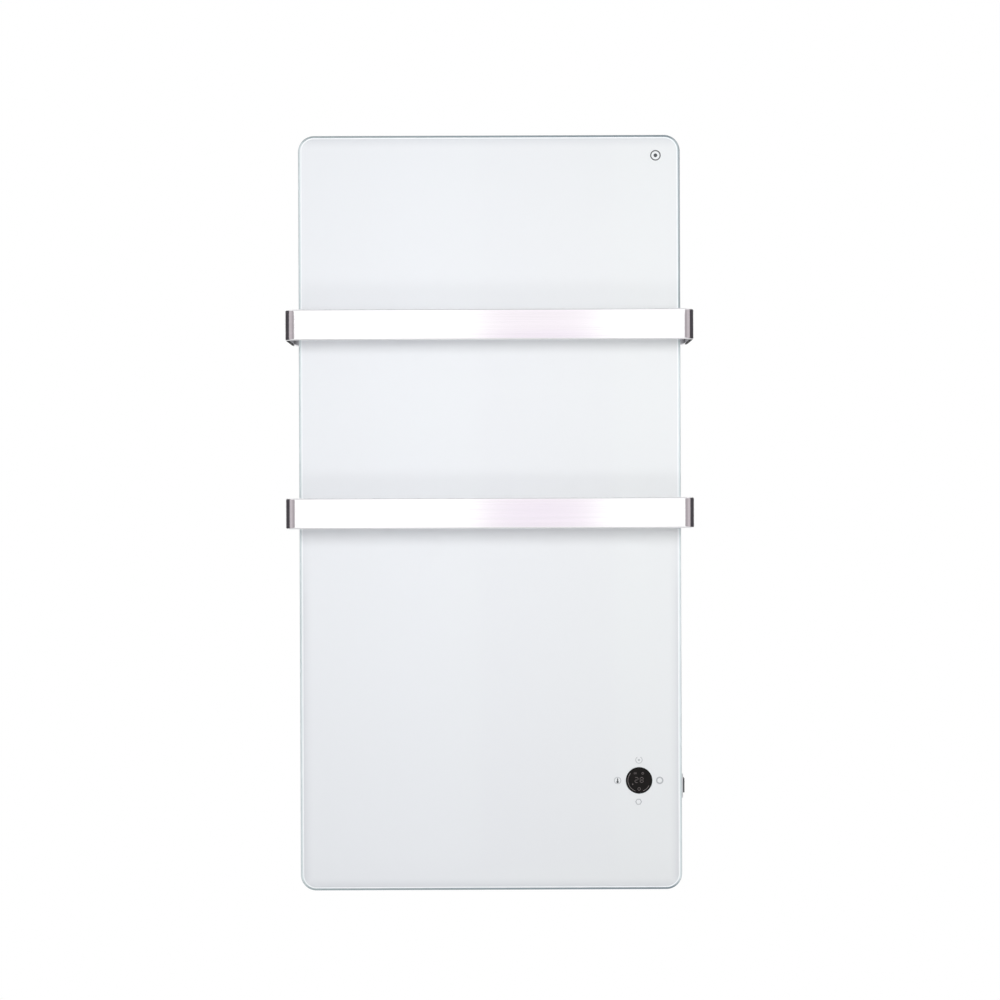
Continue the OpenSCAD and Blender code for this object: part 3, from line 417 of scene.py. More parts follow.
def mottled(name, first, second, scale, detail, stretch=(1, 1, 1), distortion=0, dull=None,
            depth=None, **inputs):
    """A material of two colours, mixed by a noise. The same noise can set the roughness, between
    two values, and a relief of a depth in metres."""
    made, tree, shader = surface(name, **inputs)
    noise = add(tree, "ShaderNodeTexNoise", {
        "Vector": place_on(tree, stretch), "Scale": scale, "Detail": detail,
        "Distortion": distortion,
    }).outputs["Fac"]
    paint(tree, shader, spread(tree, noise, 0, 1), first, second)
    if dull:
        tree.links.new(spread(tree, noise, *dull), shader.inputs["Roughness"])
    if depth:
        relief(tree, shader, noise, depth)
    return made


bar_shape = bar_tree()

# Polished and clear anodised: bright, with fine polishing lines along the bar. The lines are
# 0.2 mm apart on the real bar and drawn at 0.8 mm, so that they show.
aluminium = mottled("polished_anodised_aluminium", "#FAF9FA", "#F3F2F3", scale=1, detail=3,
                    stretch=(4, 4, 1250), dull=(0.1, 0.14), depth=0.0015 * mm, Metallic=1)
for bar in ("upper_towel_bar", "lower_towel_bar"):
    low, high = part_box(bar)
    side = high.x - bar_thickness / 2
    front = low.y + bar_thickness / 2
    rear = high.y - bar_thickness / 2
    level = (low.z + high.z) / 2
    stops = [(-return_end, rear), (-side, rear), (-side, front),
             (side, front), (side, rear), (return_end, rear)]
    path = bpy.data.meshes.new(bar + "_path")
    path.from_pydata([(x, y, level) for x, y in stops],
                     [(i, i + 1) for i in range(len(stops) - 1)], [])
    shape = grown(bar + "_bent", bar_shape, path, Height=bar_height, Thickness=bar_thickness,
                  Edge=bar_edge, Bend=bend_radius - bar_thickness / 2, Finish=aluminium)
    dress(aluminium, fitted(bar + "_bent", shape, "heater", bar))

# Screws, washers and plates of the bars
# Stainless button head screws with a six-sided socket, over plain washers. They run through the
# bars' rear ends and the casing into tapped plates.
bar_screw_r = 2.5 * mm
bar_screw_head_r = 4.5 * mm
bar_screw_head_h = 2.75 * mm
washer_r = 5.25 * mm
washer_t = 1 * mm


def screws(node, seat, shank, head, height, seed):
    """Puts a button head screw in the place of each solid of a CAD node, its head on the seat."""
    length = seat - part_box(node)[0].y
    screw = turned("screw", [
        (-length, 0.75 * shank), (-length + 0.5 * mm, shank), (0, shank),
        *domed(head, height, 0.2 * height, 62),
        (height, 0.38 * head, 6), (0.45 * height, 0.38 * head, 6),
    ])
    set_of(node, seat, screw, steel, seed)


# Cold headed stainless steel: a warm grey, half bright, with faint turning marks.
steel = mottled("stainless_steel", "#C9C7C3", "#B2B0AC", scale=700, detail=3,
                dull=(0.2, 0.34), depth=0.01 * mm, Metallic=1)
washer_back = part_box("bar_washers")[1].y
screws("bar_screws", washer_back, bar_screw_r, bar_screw_head_r, bar_screw_head_h, seed=3)
washer = turned("washer", [
    (-washer_t, bar_screw_r), (-washer_t, washer_r - 0.15 * mm), (-0.85 * washer_t, washer_r),
    (-0.15 * washer_t, washer_r), (0, washer_r - 0.15 * mm), (0, bar_screw_r),
], looped=True)
set_of("bar_washers", washer_back, washer, steel, seed=4)
dress(zinc, soft_copy("bar_backing_plates", 0.25 * mm))

# Insulation
# A board of pressed mineral fibre fills the casing behind the heating film. It is cut out for
# the wires, the plates and the cut-outs.

# Pressed mineral fibre: pale straw, matt, with short fibres lying every way in the board.
fibre_board = mottled("mineral_fibre_board", "#CDBF93", "#E4DBBB", scale=300, detail=6,
                      stretch=(1, 4, 2.5), distortion=1.5, depth=0.4 * mm, Roughness=0.95)
dress(fibre_board, "insulation_board")

# Heating film and its feed strips
# Polyester film printed with carbon bands that run between two copper strips, bonded to the back
# of the glass.


def carbon_film():
    """Carbon print under polyester: dark bands 14 mm apart with thin clear gaps, half gloss."""
    made, tree, shader = surface("carbon_printed_film", Roughness=0.3, IOR=1.6)
    bands = add(tree, "ShaderNodeTexWave", {
        "Vector": place_on(tree), "Scale": 22.4, "Distortion": 0,
    }, bands_direction="Z")
    edge = add(tree, "ShaderNodeMapRange", {
        "Value": bands.outputs["Fac"], "From Min": 0.08, "From Max": 0.14,
    })
    paint(tree, shader, edge.outputs["Result"], "#8A8474", "#26262A")
    return made


dress(carbon_film(), "heating_film")
# Rolled copper strip: reddish and half bright, a little darker where it has oxidised.
copper = mottled("rolled_copper", "#D98E66", "#A9623F", scale=160, detail=4, stretch=(1, 1, 0.2),
                 dull=(0.25, 0.45), Metallic=1)
dress(copper, "busbars")

# Overheating cut-outs
# Two snap discs in black phenolic cases rest on the film and open its circuit when it runs too
# hot. Each has two blades of tinned brass.


def moulded(name, light, dark, grain=0.4 * mm, dull=(0.35, 0.5)):
    """Moulded plastic: the fine grain of an eroded mould, with a slight drift of its colour."""
    made, tree, shader = surface(name)
    skin = add(tree, "ShaderNodeTexNoise", {
        "Vector": place_on(tree), "Scale": 1 / grain, "Detail": 2,
    })
    drift = add(tree, "ShaderNodeTexNoise", {"Vector": place_on(tree), "Scale": 70, "Detail": 1})
    paint(tree, shader, spread(tree, drift.outputs["Fac"], 0, 1), light, dark)
    tree.links.new(spread(tree, skin.outputs["Fac"], *dull), shader.inputs["Roughness"])
    relief(tree, shader, skin.outputs["Fac"], 0.06 * grain)
    return made


# Phenolic resin is harder and glossier than the other black plastics here, with a brown cast.
phenolic = moulded("black_phenolic_resin", "#1E1B19", "#262220", dull=(0.22, 0.35))
# Stamped brass with a thin layer of tin: pale, soft gloss, yellow where the tin is thin.
tinned = mottled("tinned_brass", "#D6D2C4", "#C8B37C", scale=250, detail=3, dull=(0.28, 0.4),
                 Metallic=1)
dress(phenolic, soft_copy("thermal_cutouts", 0.3 * mm))
dress(tinned, "cutout_terminals")

# Glass panel
# Toughened glass, 5 mm thick, with round corners, a ground and polished edge, and white enamel
# fired on its back. The enamel stops short of the edge and leaves a clear border, painted bright as
# a highlight.
glass_corner = 18 * mm
glass_bevel = 2.7 * mm
enamel_border = 1.4 * mm
glass_ior = 1.52
window_hole = 14.9 * mm
corner_steps = 24
hole_steps = 96
window_low, window_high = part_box("display_window")
window_middle = (window_low + window_high) / 2


def rounded_outline(width, height, radius, y):
    """Points of a rectangle with round corners, counter-clockwise as seen from the room."""
    points = []
    for quarter, (sx, sz) in enumerate([(1, 1), (-1, 1), (-1, -1), (1, -1)]):
        for i in range(corner_steps + 1):
            a = math.radians(90) * (quarter + i / corner_steps)
            points.append(((width / 2 - radius) * sx + radius * math.cos(a), y,
                           (height / 2 - radius) * sz + radius * math.sin(a)))
    return points


def join_rings(bm, rings, parts):
    """Faces between rings of as many points, in order, each band with its material's number."""
    loops = [[bm.verts.new(p) for p in ring] for ring in rings]
    for below, above, number in zip(loops, loops[1:], parts):
        for i in range(len(below)):
            j = (i + 1) % len(below)
            face = bm.faces.new((below[i], below[j], above[j], above[i]))
            face.material_index = number
    return loops


def close_between(bm, outer, inner, number):
    """Fills the flat face between two rings."""
    edges = set()
    for ring in (outer, inner):
        for i, vert in enumerate(ring):
            edges.add(bm.edges.get((vert, ring[(i + 1) % len(ring)])))
    made = bmesh.ops.triangle_fill(bm, edges=list(edges), use_beauty=True)
    for item in made["geom"]:
        if isinstance(item, bmesh.types.BMFace):
            item.material_index = number


def glass_mesh():
    """The panel with its rounded front edge and its hole for the display."""
    low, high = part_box("glass_panel")
    width, height = high.x - low.x, high.z - low.z
    front, back = low.y, high.y
    seam = 0.25 * mm
    enamel, border, edge = 0, 1, 2

    def outline(inset, y):
        return rounded_outline(width - 2 * inset, height - 2 * inset, glass_corner - inset, y)

    def ring(radius, y):
        turn = [2 * math.pi * i / hole_steps for i in range(hole_steps)]
        return [(window_middle.x + radius * math.cos(a), y,
                 window_middle.z + radius * math.sin(a)) for a in turn]

    bm = bmesh.new()
    rings = [outline(seam + 0.5 * mm, back), outline(seam, back), outline(0, back - seam)]
    for i in range(7):
        a = math.radians(15) * i
        inset = glass_bevel * (1 - math.cos(a))
        rings.append(outline(inset, front + glass_bevel * (1 - math.sin(a))))
    rings.append(outline(glass_bevel + enamel_border, front))
    outside = join_rings(bm, rings, [enamel] + [edge] * 8 + [border])
    inside = join_rings(bm, [
        ring(window_hole + seam, front), ring(window_hole, front + seam),
        ring(window_hole, back - seam), ring(window_hole + seam, back),
    ], [edge, edge, edge])
    close_between(bm, outside[-1], inside[0], enamel)
    close_between(bm, outside[0], inside[-1], enamel)
    bmesh.ops.recalc_face_normals(bm, faces=bm.faces)
    return bm


def rise(tree, axis, start, end, peak=1, both_ways=False):
    """Rises from 0 to a peak between two places on an axis of the piece, in metres. Both ways,
    it does so on either side of the middle."""
    where = add(tree, "ShaderNodeTexCoord").outputs["Object"]
    place = add(tree, "ShaderNodeSeparateXYZ", {"Vector": where}).outputs[axis]
    if both_ways:
        place = add(tree, "ShaderNodeMath", {0: place}, operation="ABSOLUTE").outputs["Value"]
    return add(tree, "ShaderNodeMapRange", {
        "Value": place, "From Min": start, "From Max": end, "To Max": peak,
    }).outputs["Result"]


def painted_shade_at_edges(tree, high, reach):
    """A mask for painted shade: from 0 well inside the panel to 1 at its border, squared so that it
    fades in. The long sides have it only in the lower half, away from the light."""
    near_side = rise(tree, "X", high.x - reach, high.x, both_ways=True)
    near_end = rise(tree, "Z", high.z - reach, high.z, both_ways=True)
    lower = rise(tree, "Z", 50 * mm, -100 * mm)
    sides = add(tree, "ShaderNodeMath", {0: near_side, 1: lower}, operation="MULTIPLY")
    most = add(tree, "ShaderNodeMath", {
        0: sides.outputs["Value"], 1: near_end,
    }, operation="MAXIMUM")
    squared = add(tree, "ShaderNodeMath", {0: most.outputs["Value"], 1: 2}, operation="POWER")
    return squared.outputs["Value"]


def enamelled_glass():
    """White enamel under polished glass: a cool white with sharp reflections, and less blue to the
    right. A painted shade darkens it towards the border, on the long sides only in their lower
    half. Toughening leaves faint roller waves, 35 mm apart."""
    made, tree, shader = surface("enamelled_glass", Roughness=0.03, IOR=glass_ior)
    white = add(tree, "ShaderNodeMix", {
        "Factor": rise(tree, "X", -80 * mm, 160 * mm),
        "A": linear("#EBEDF0"),
        "B": linear("#E9EBEC"),
    }, data_type="RGBA")
    painted_border_shade = painted_shade_at_edges(tree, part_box("glass_panel")[1], 16 * mm)
    waves = add(tree, "ShaderNodeTexNoise", {
        "Vector": place_on(tree, (4, 4, 28)), "Scale": 1, "Detail": 0,
    })
    # The grey #CDCFD4 is painted shade near the panel's border.
    paint(tree, shader, painted_border_shade, white.outputs["Result"], "#CDCFD4")
    relief(tree, shader, waves.outputs["Fac"], 0.02 * mm)
    return made


def ground_glass_edge():
    """Edge ground with fine diamond and polished: pale blue-green glass. A painted shade darkens
    the two ends, most so to the right, and the upper right side."""
    made, tree, shader = surface("ground_glass_edge", IOR=glass_ior)
    # Masks for the painted shade: the two ends and the upper right side.
    at_ends = rise(tree, "Z", 412 * mm, 422.5 * mm, both_ways=True)
    right = rise(tree, "X", 0, 1 * mm)
    upper = rise(tree, "Z", 170 * mm, 210 * mm, peak=0.65)
    upper_right = add(tree, "ShaderNodeMath", {0: right, 1: upper}, operation="MULTIPLY")
    painted_shade = add(tree, "ShaderNodeMath", {
        0: upper_right.outputs["Value"], 1: at_ends,
    }, operation="MAXIMUM")
    grind = add(tree, "ShaderNodeTexNoise", {
        "Vector": place_on(tree, (9, 9, 9)), "Scale": 1, "Detail": 2,
    })
    pale = add(tree, "ShaderNodeMix", {
        "Factor": spread(tree, grind.outputs["Fac"], 0, 1),
        "A": linear("#E8F0F2"),
        "B": linear("#D7E1E3"),
    }, data_type="RGBA")
    # These darker colours are the painted shade, deepest to the right.
    shaded_edge_colour = add(tree, "ShaderNodeMix", {
        "Factor": rise(tree, "X", -200 * mm, 150 * mm),
        "A": linear("#A5B1B4"),
        "B": linear("#86939A"),
    }, data_type="RGBA")
    paint(tree, shader, painted_shade.outputs["Value"], pale.outputs["Result"], shaded_edge_colour.outputs["Result"])
    tree.links.new(spread(tree, grind.outputs["Fac"], 0.12, 0.25), shader.inputs["Roughness"])
    return made


panel = fitted("enamelled_glass_panel", glass_mesh(), "heater", "glass_panel", turn=25)
# Clear glass where the enamel stops: painted brighter than the enamel as a highlight, with the same
# gloss.
bright_border_painted_highlight = mottled("clear_glass_border_painted_highlight", "#FDFDFF", "#F3F8FA", scale=40, detail=2,
                       Roughness=0.05, IOR=glass_ior)
for finish in (enamelled_glass(), bright_border_painted_highlight, ground_glass_edge()):
    panel.data.materials.append(finish)

# Silicone bond
# A frame of neutral-cure silicone, 8 mm wide, which holds the glass on the casing's flange. It is
# laid as a bead that the glass presses flat.

# Cured silicone: light grey, satin, with the soft ripples that the spatula leaves.
silicone = mottled("silicone_sealant", "#CDCED0", "#C2C3C6", scale=120, detail=2,
                   dull=(0.4, 0.55), depth=0.1 * mm, IOR=1.41)
dress(silicone, "glass_bond")

# Signs on the glass
# Four touch signs round the display and a ring with a dot at the top right, screen printed in
# grey on the front and fired with the glass.
ink = 0.03 * mm
on_glass = Vector((0, -ink, 0))
mark_place = (187.4 * mm, 401.6 * mm)


def strip(bm, inner, outer, closed, lift=on_glass):
    """A thin strip between two lines of points, raised by the ink's thickness."""
    lines = []
    for points, raised in ((inner, 0), (inner, 1), (outer, 1), (outer, 0)):
        lines.append([bm.verts.new(Vector(p) + raised * lift) for p in points])
    count = len(inner)
    for a, b in zip(lines, lines[1:] + lines[:1]):
        for i in range(count if closed else count - 1):
            j = (i + 1) % count
            bm.faces.new((a[i], a[j], b[j], b[i]))
    if not closed:
        bm.faces.new([line[0] for line in lines])
        bm.faces.new([line[-1] for line in lines])


def arc(bm, centre, inner, outer, y, start=0, end=360, steps=48):
    """Part of a ring, or a whole one. With few steps it becomes a polygon."""
    closed = end - start >= 360
    count = steps if closed else steps + 1
    turn = [math.radians(start + (end - start) * i / steps) for i in range(count)]
    strip(bm, *[[(centre[0] + r * math.cos(a), y, centre[1] + r * math.sin(a)) for a in turn]
                for r in (inner, outer)], closed)


def dot(bm, centre, radius, y, steps=24):
    """A thin round spot."""
    turn = [2 * math.pi * i / steps for i in range(steps)]
    rims = [[bm.verts.new((centre[0] + radius * math.cos(a), depth,
                           centre[1] + radius * math.sin(a))) for a in turn]
            for depth in (y, y - ink)]
    for rim in rims:
        bm.faces.new(rim)
    for i in range(steps):
        j = (i + 1) % steps
        bm.faces.new((rims[0][i], rims[0][j], rims[1][j], rims[1][i]))


def stroke(bm, start, end, width, y):
    """A thin straight stroke."""
    along = (Vector(end) - Vector(start)).normalized() * width / 2
    strip(bm, *[[(x - s * along.y, y, z + s * along.x) for x, z in (start, end)]
                for s in (-1, 1)], False)


def print_ink(name, light, dark):
    """Fired screen ink: matt beside the glass, with the faint mottle of the screen's mesh."""
    return mottled(name, light, dark, scale=2500, detail=1, Roughness=0.45)


def printed(name, bm, finish, body="heater", slot="enamelled_glass"):
    """Makes a piece of a print's strips and spots."""
    bmesh.ops.recalc_face_normals(bm, faces=bm.faces)
    dress(finish, fitted(name, bm, body, slot=slot))


glass_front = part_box("glass_panel")[0].y
middle = (window_middle.x, window_middle.z)


def beside(dx, dz, centre=middle):
    """A place on the glass, in millimetres from the window's middle or another centre."""
    return (centre[0] + dx * mm, centre[1] + dz * mm)


signs = bmesh.new()
top = beside(-0.1, 23)
arc(signs, top, 3.3 * mm, 4 * mm, glass_front, 118, 422)
dot(signs, top, 1.2 * mm, glass_front)
left = beside(-24.2, 0)
arc(signs, left, 3.3 * mm, 4 * mm, glass_front)
right = beside(23.2, 0)
arc(signs, right, 2.6 * mm, 4.2 * mm, glass_front)
bottom = beside(-0.6, -24)
arc(signs, bottom, 2.7 * mm, 3.8 * mm, glass_front, steps=6)
printed("touch_signs", signs, print_ink("grey_screen_ink", "#B9BBBE", "#ACAEB2"))

mark = bmesh.new()
arc(mark, mark_place, 4.7 * mm, 5.9 * mm, glass_front)
dot(mark, mark_place, 2.1 * mm, glass_front)
stroke(mark, beside(0, -1.2, left), beside(0, 2.4, left), 1.3 * mm, glass_front)
dot(mark, beside(0, -1.6, left), 1.3 * mm, glass_front)
printed("dark_signs", mark, print_ink("dark_grey_screen_ink", "#4E5154", "#3F4245"))

# Display window
# Smoked acrylic, turned to a disc with a flange. Its face is flush with the glass. The lit figures
# of the display are painted on it as a grey glow, with no light of their own.


def painted_diode_glow(name, light, dark):
    """Painted glow of dim white diodes behind smoked acrylic: warm grey figures, uneven from diode
    to diode, that give no light.
    """
    return mottled(name, light, dark, scale=900, detail=1, Roughness=0.5, Specular_IOR_Level=0.2)


def digit(bm, centre, segments, y):
    """A seven-segment digit, 4.2 by 6.4 mm, from the letters of its lit segments."""
    side, top, thick = 1.7 * mm, 2.84 * mm, 0.75 * mm
    gap = 0.62 * thick
    ends = {
        "a": ((-side, top), (side, top)), "b": ((side, top), (side, 0)),
        "c": ((side, 0), (side, -top)), "d": ((-side, -top), (side, -top)),
        "e": ((-side, 0), (-side, -top)), "f": ((-side, top), (-side, 0)),
        "g": ((-side, 0), (side, 0)),
    }
    for letter in segments:
        start, end = [Vector(centre) + Vector(place) for place in ends[letter]]
        inset = (end - start).normalized() * gap
        stroke(bm, start + inset, end - inset, thick, y)


# Cast acrylic with black dye: nearly black and polished. Its face has an anti-reflex coat, which
# takes most of the mirror image away.
smoked_acrylic = mottled("smoked_acrylic", "#0B0908", "#14100F", scale=150, detail=2,
                         Roughness=0.05, IOR=1.49, Specular_IOR_Level=0.12)
dress(smoked_acrylic, "display_window")
window_front = window_low.y
figures = bmesh.new()
digit(figures, beside(-2.9, 0.5), "abged", window_front)
digit(figures, beside(2.9, 0.5), "abcdefg", window_front)
dot(figures, beside(-7.2, -4.2), 0.8 * mm, window_front)
arc(figures, beside(0, -9.6), 1.2 * mm, 1.8 * mm, window_front)
for dx in (-5.54, -4.4, -3.26):
    stroke(figures, beside(dx, 7), beside(dx, 9.2), 0.5 * mm, window_front)
arc(figures, beside(4.2, 8), 0.8 * mm, 1.4 * mm, window_front)
# The grey of the figures is painted glow of the diodes.
printed("display_figures", figures, painted_diode_glow("painted_figure_glow", "#6E6766", "#554F4E"),
        slot="smoked_acrylic")

rings = bmesh.new()
arc(rings, middle, 12.3 * mm, 12.8 * mm, window_front, 140, 251)
arc(rings, middle, 12.3 * mm, 12.8 * mm, window_front, 292, 333)
# The grey of the ring is painted glow of the diodes.
printed("display_ring", rings, painted_diode_glow("painted_ring_glow", "#8D8786", "#726C6B"),
        slot="smoked_acrylic")

# Display board and touch pads
# Behind the window sit the diode display and its circuit board, in a white frame that clips on
# the glass. Four foam pads carry the touch fields to the glass.


def solder_mask():
    """Green lacquer over glass fibre board: copper tracks show as paler lines, drawn 2 mm apart
    and coarser than real ones."""
    made, tree, shader = surface("green_solder_mask", Roughness=0.28)
    tracks = add(tree, "ShaderNodeTexBrick", {
        "Vector": add(tree, "ShaderNodeMapping", {
            "Vector": place_on(tree), "Rotation": (math.radians(90), 0, 0),
        }).outputs["Vector"],
        "Color1": linear("#1F5E37"), "Color2": linear("#1B5532"), "Mortar": linear("#3E8A55"),
        "Scale": 60, "Mortar Size": 0.012, "Brick Width": 0.9, "Row Height": 0.12,
    }, offset=0.37)
    tree.links.new(tracks.outputs["Color"], shader.inputs["Base Color"])
    relief(tree, shader, tracks.outputs["Fac"], 0.02 * mm)
    return made


def conductive_foam():
    """Carbon-filled foam: dark grey with open cells of half a millimetre."""
    made, tree, shader = surface("conductive_foam", Roughness=0.9)
    cells = add(tree, "ShaderNodeTexVoronoi", {"Vector": place_on(tree), "Scale": 2000})
    paint(tree, shader, cells.outputs["Distance"], "#26262A", "#46464B")
    relief(tree, shader, cells.outputs["Distance"], 0.2 * mm)
    return made


# White ABS of the box and the hood: very slightly warm, satin, with a fine even grain.
white_abs = moulded("white_abs", "#EDEDE9", "#E6E6E2", grain=0.5 * mm)
# Black ABS: neutral and satin.
black_abs = moulded("black_abs", "#1A1A1C", "#202022")
circuit_board = solder_mask()
dress(black_abs, soft_copy("led_display", 0.3 * mm))
dress(circuit_board, "display_board")
dress(white_abs, soft_copy("display_housing", 0.3 * mm))
dress(conductive_foam(), "touch_pads")

# Power switch
# A snap-in rocker switch in the casing's right side. Its black rim stands out of a light grey
# surround, and the rocker turns on a steel pin.
rocker_axis = Vector((211 * mm, -35 * mm, -310 * mm))
rocker_tilt = math.radians(10)
rocker_valley = 6.6 * mm

# Light grey ABS: cool, satin.
grey_abs = moulded("light_grey_abs", "#E2E3E5", "#DADBDE", grain=0.45 * mm)
# Black polyamide with glass fibre: a little paler and duller than ABS.
black_polyamide = moulded("black_polyamide", "#3A3B3D", "#434446", grain=0.3 * mm,
                          dull=(0.4, 0.55))
# Polycarbonate of the rocker: black with a soft shine from the touch of fingers.
rocker_black = moulded("black_polycarbonate", "#2E2F31", "#353638", grain=0.35 * mm,
                       dull=(0.25, 0.4))
dress(grey_abs, soft_copy("switch_surround", 0.5 * mm))
dress(black_polyamide, soft_copy("switch_body", 0.3 * mm))
dress(tinned, "switch_terminals")
dress(steel, "rocker_pin")
dress(rocker_black, soft_copy("rocker", 0.35 * mm, sharper_than=15))


def on_rocker(side, out_along, across):
    """A place on one half of the rocker's face, in millimetres from its valley. Side 1 is the
    upper half, side -1 the lower."""
    height = side * out_along * mm * math.cos(rocker_tilt)
    out = rocker_valley + out_along * mm * math.sin(rocker_tilt)
    return (rocker_axis.x + out * math.cos(rocker_tilt) + height * math.sin(rocker_tilt),
            rocker_axis.y + across * mm,
            rocker_axis.z + height * math.cos(rocker_tilt) - out * math.sin(rocker_tilt))


def rocker_marks():
    """The stroke and the ring that mark on and off, printed on the two halves. The lower half
    stands upright, the upper leans by twice the tilt."""
    bm = bmesh.new()
    lean = 2 * rocker_tilt
    bar = [[on_rocker(1, along, across) for along in (1.6, 4.4)] for across in (-0.3, 0.3)]
    strip(bm, *bar, False, ink * Vector((math.cos(lean), 0, -math.sin(lean))))
    turn = [2 * math.pi * i / 24 for i in range(24)]
    ring = [[on_rocker(-1, 3 + r * math.cos(a), r * math.sin(a)) for a in turn] for r in (0.9, 1.4)]
    strip(bm, *ring, True, ink * Vector((1, 0, 0)))
    return bm


printed("rocker_marks", rocker_marks(), print_ink("white_pad_print", "#E9E9E9", "#DCDCDC"),
        body="rocker", slot="rocker_plastic")

# Control box
# A white box with a lid behind the display's left, screwed from outside the casing. It keeps the
# electronics away from the insulation.
box_screw_r = 1.6 * mm
small_head_r = 3.2 * mm
dress(white_abs, soft_copy("control_box", 0.4 * mm), soft_copy("control_box_lid", 0.4 * mm))
casing_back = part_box("rear_casing")[1].y
screws("box_screws", casing_back, box_screw_r, small_head_r,
       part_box("box_screws")[1].y - casing_back, seed=5)

# Power board
# The circuit board that switches the heater, held by four screws. It carries two terminal
# blocks, a relay, a power converter, a filter capacitor and a fuse.


def fuse_body():
    """Ceramic fuse: a white tube between nickel caps, 5 mm long each."""
    cap_length = 5 * mm
    low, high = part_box("fuse")
    made, tree, shader = surface("ceramic_fuse")
    where = add(tree, "ShaderNodeMapping", {
        "Vector": add(tree, "ShaderNodeTexCoord").outputs["Object"],
        "Location": tuple(-(low + high) / 2),
    })
    parts = add(tree, "ShaderNodeSeparateXYZ", {"Vector": where.outputs["Vector"]})
    axis = "X" if high.x - low.x > high.z - low.z else "Z"
    half = max(high.x - low.x, high.z - low.z) / 2
    away = add(tree, "ShaderNodeMath", {0: parts.outputs[axis]}, operation="ABSOLUTE")
    cap = add(tree, "ShaderNodeMath", {
        0: away.outputs["Value"], 1: half - cap_length,
    }, operation="GREATER_THAN").outputs["Value"]
    glaze = add(tree, "ShaderNodeTexNoise", {"Vector": place_on(tree), "Scale": 400, "Detail": 2})
    paint(tree, shader, cap, "#E9E6DC", "#C9C6BE")
    tree.links.new(cap, shader.inputs["Metallic"])
    tree.links.new(spread(tree, glaze.outputs["Fac"], 0.25, 0.4), shader.inputs["Roughness"])
    return made


# Polyamide of the terminal blocks: bright green and satin.
green_polyamide = moulded("green_polyamide", "#3F9A57", "#378C4E", grain=0.3 * mm)
# Polyester of the relay's cap: blue, smooth enough to shine.
blue_polyester = moulded("blue_polyester", "#2D66A6", "#285C98", grain=0.25 * mm,
                         dull=(0.25, 0.38))
# Epoxy of the converter: cast black, with a dull even skin.
black_epoxy = moulded("cast_black_epoxy", "#18181A", "#1F1F22", grain=0.6 * mm,
                      dull=(0.45, 0.6))
# Capacitor's box: yellow polyester, half gloss.
yellow_polyester = moulded("yellow_polyester", "#E2BC3F", "#D6AE33", grain=0.25 * mm,
                           dull=(0.25, 0.4))
dress(circuit_board, "power_board")
dress(steel, "board_screws")
dress(green_polyamide, soft_copy("terminal_blocks", 0.25 * mm))
dress(blue_polyester, soft_copy("relay", 0.5 * mm))
dress(black_epoxy, soft_copy("power_converter", 0.5 * mm))
dress(yellow_polyester, soft_copy("filter_capacitor", 0.5 * mm))
dress(fuse_body(), "fuse")

# Wires and the ribbon
# The ribbon joins the two boards. Single wires run to the switch, the film, the cut-outs, the
# sensor and the earth stud, each in insulation of its own colour.


def wire_cover(name, light, dark):
    """Extruded PVC: smooth, half gloss, with slow bands where the extruder's speed drifted."""
    return mottled(name, light, dark, scale=110, detail=3, dull=(0.3, 0.42), IOR=1.53)


def ribbon_cover():
    """Flat ribbon: grey PVC with a groove between each two conductors, 1.3 mm apart."""
    made, tree, shader = surface("grey_ribbon_cable", Roughness=0.4)
    grooves = add(tree, "ShaderNodeTexWave", {
        "Vector": place_on(tree), "Scale": 242, "Distortion": 0,
    }, bands_direction="Z")
    paint(tree, shader, grooves.outputs["Fac"], "#85888C", "#B4B7BB")
    relief(tree, shader, grooves.outputs["Fac"], 0.15 * mm)
    return made


def earth_cover():
    """PVC in green and yellow, the two colours in bands round the wire."""
    made, tree, shader = surface("green_yellow_insulation", Roughness=0.36, IOR=1.53)
    bands = add(tree, "ShaderNodeTexWave", {
        "Vector": place_on(tree), "Scale": 90, "Distortion": 0,
    }, bands_direction="DIAGONAL")
    yellow = add(tree, "ShaderNodeMath", {
        0: bands.outputs["Fac"], 1: 0.55,
    }, operation="GREATER_THAN")
    paint(tree, shader, yellow.outputs["Value"], "#2F8F46", "#E3CF3C")
    return made


dress(ribbon_cover(), "display_ribbon")
dress(wire_cover("brown_insulation", "#6B4527", "#5E3B20"), "switch_wires")
dress(wire_cover("red_silicone_insulation", "#B3342C", "#A32B25"), "element_leads")
dress(wire_cover("white_insulation", "#E8E7E3", "#DCDBD6"), "cutout_wires", "sensor_wire")
dress(earth_cover(), "earth_wire")

# Earth connection
# A plated steel stud, welded to the casing. A plated nut presses the earth wire's ring terminal,
# stamped of tinned brass, on it.
dress(zinc, "earth_stud", soft_copy("earth_nut", 0.2 * mm))
dress(tinned, "ring_terminal")

# Room sensor
# A probe in a drawn steel sleeve reads the temperature of the air below the casing. The rubber
# grommet that holds it is pushed into a hole in the casing's lower side.

# Moulded rubber: matt black with a dusty bloom.
rubber = mottled("epdm_rubber", "#222224", "#333336", scale=500, detail=3,
                 dull=(0.65, 0.85), depth=0.05 * mm, IOR=1.5)
dress(steel, soft_copy("air_sensor", 0.5 * mm))
dress(rubber, soft_copy("sensor_grommet", 0.3 * mm))

# Cable hood
# A cap of moulded white plastic on the casing's back, where the supply cable comes in. Two steel
# screws hold its lugs.
hood_screw_r = 1.75 * mm
small_head_h = 2.2 * mm
dress(white_abs, soft_copy("cable_hood", 0.6 * mm))
lug_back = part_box("hood_screws")[1].y - small_head_h
screws("hood_screws", lug_back, hood_screw_r, small_head_r, small_head_h, seed=7)

# Studio
# A pale floor below the heater that shows from above only, a wide soft lamp in front, a weak one
# low in front, one behind, and a white background. Flags at the sides and behind give the metal
# its dark and grey bands.
floor_level = -1.0
floor_radius = 1.45
shadow_reach = 0.55


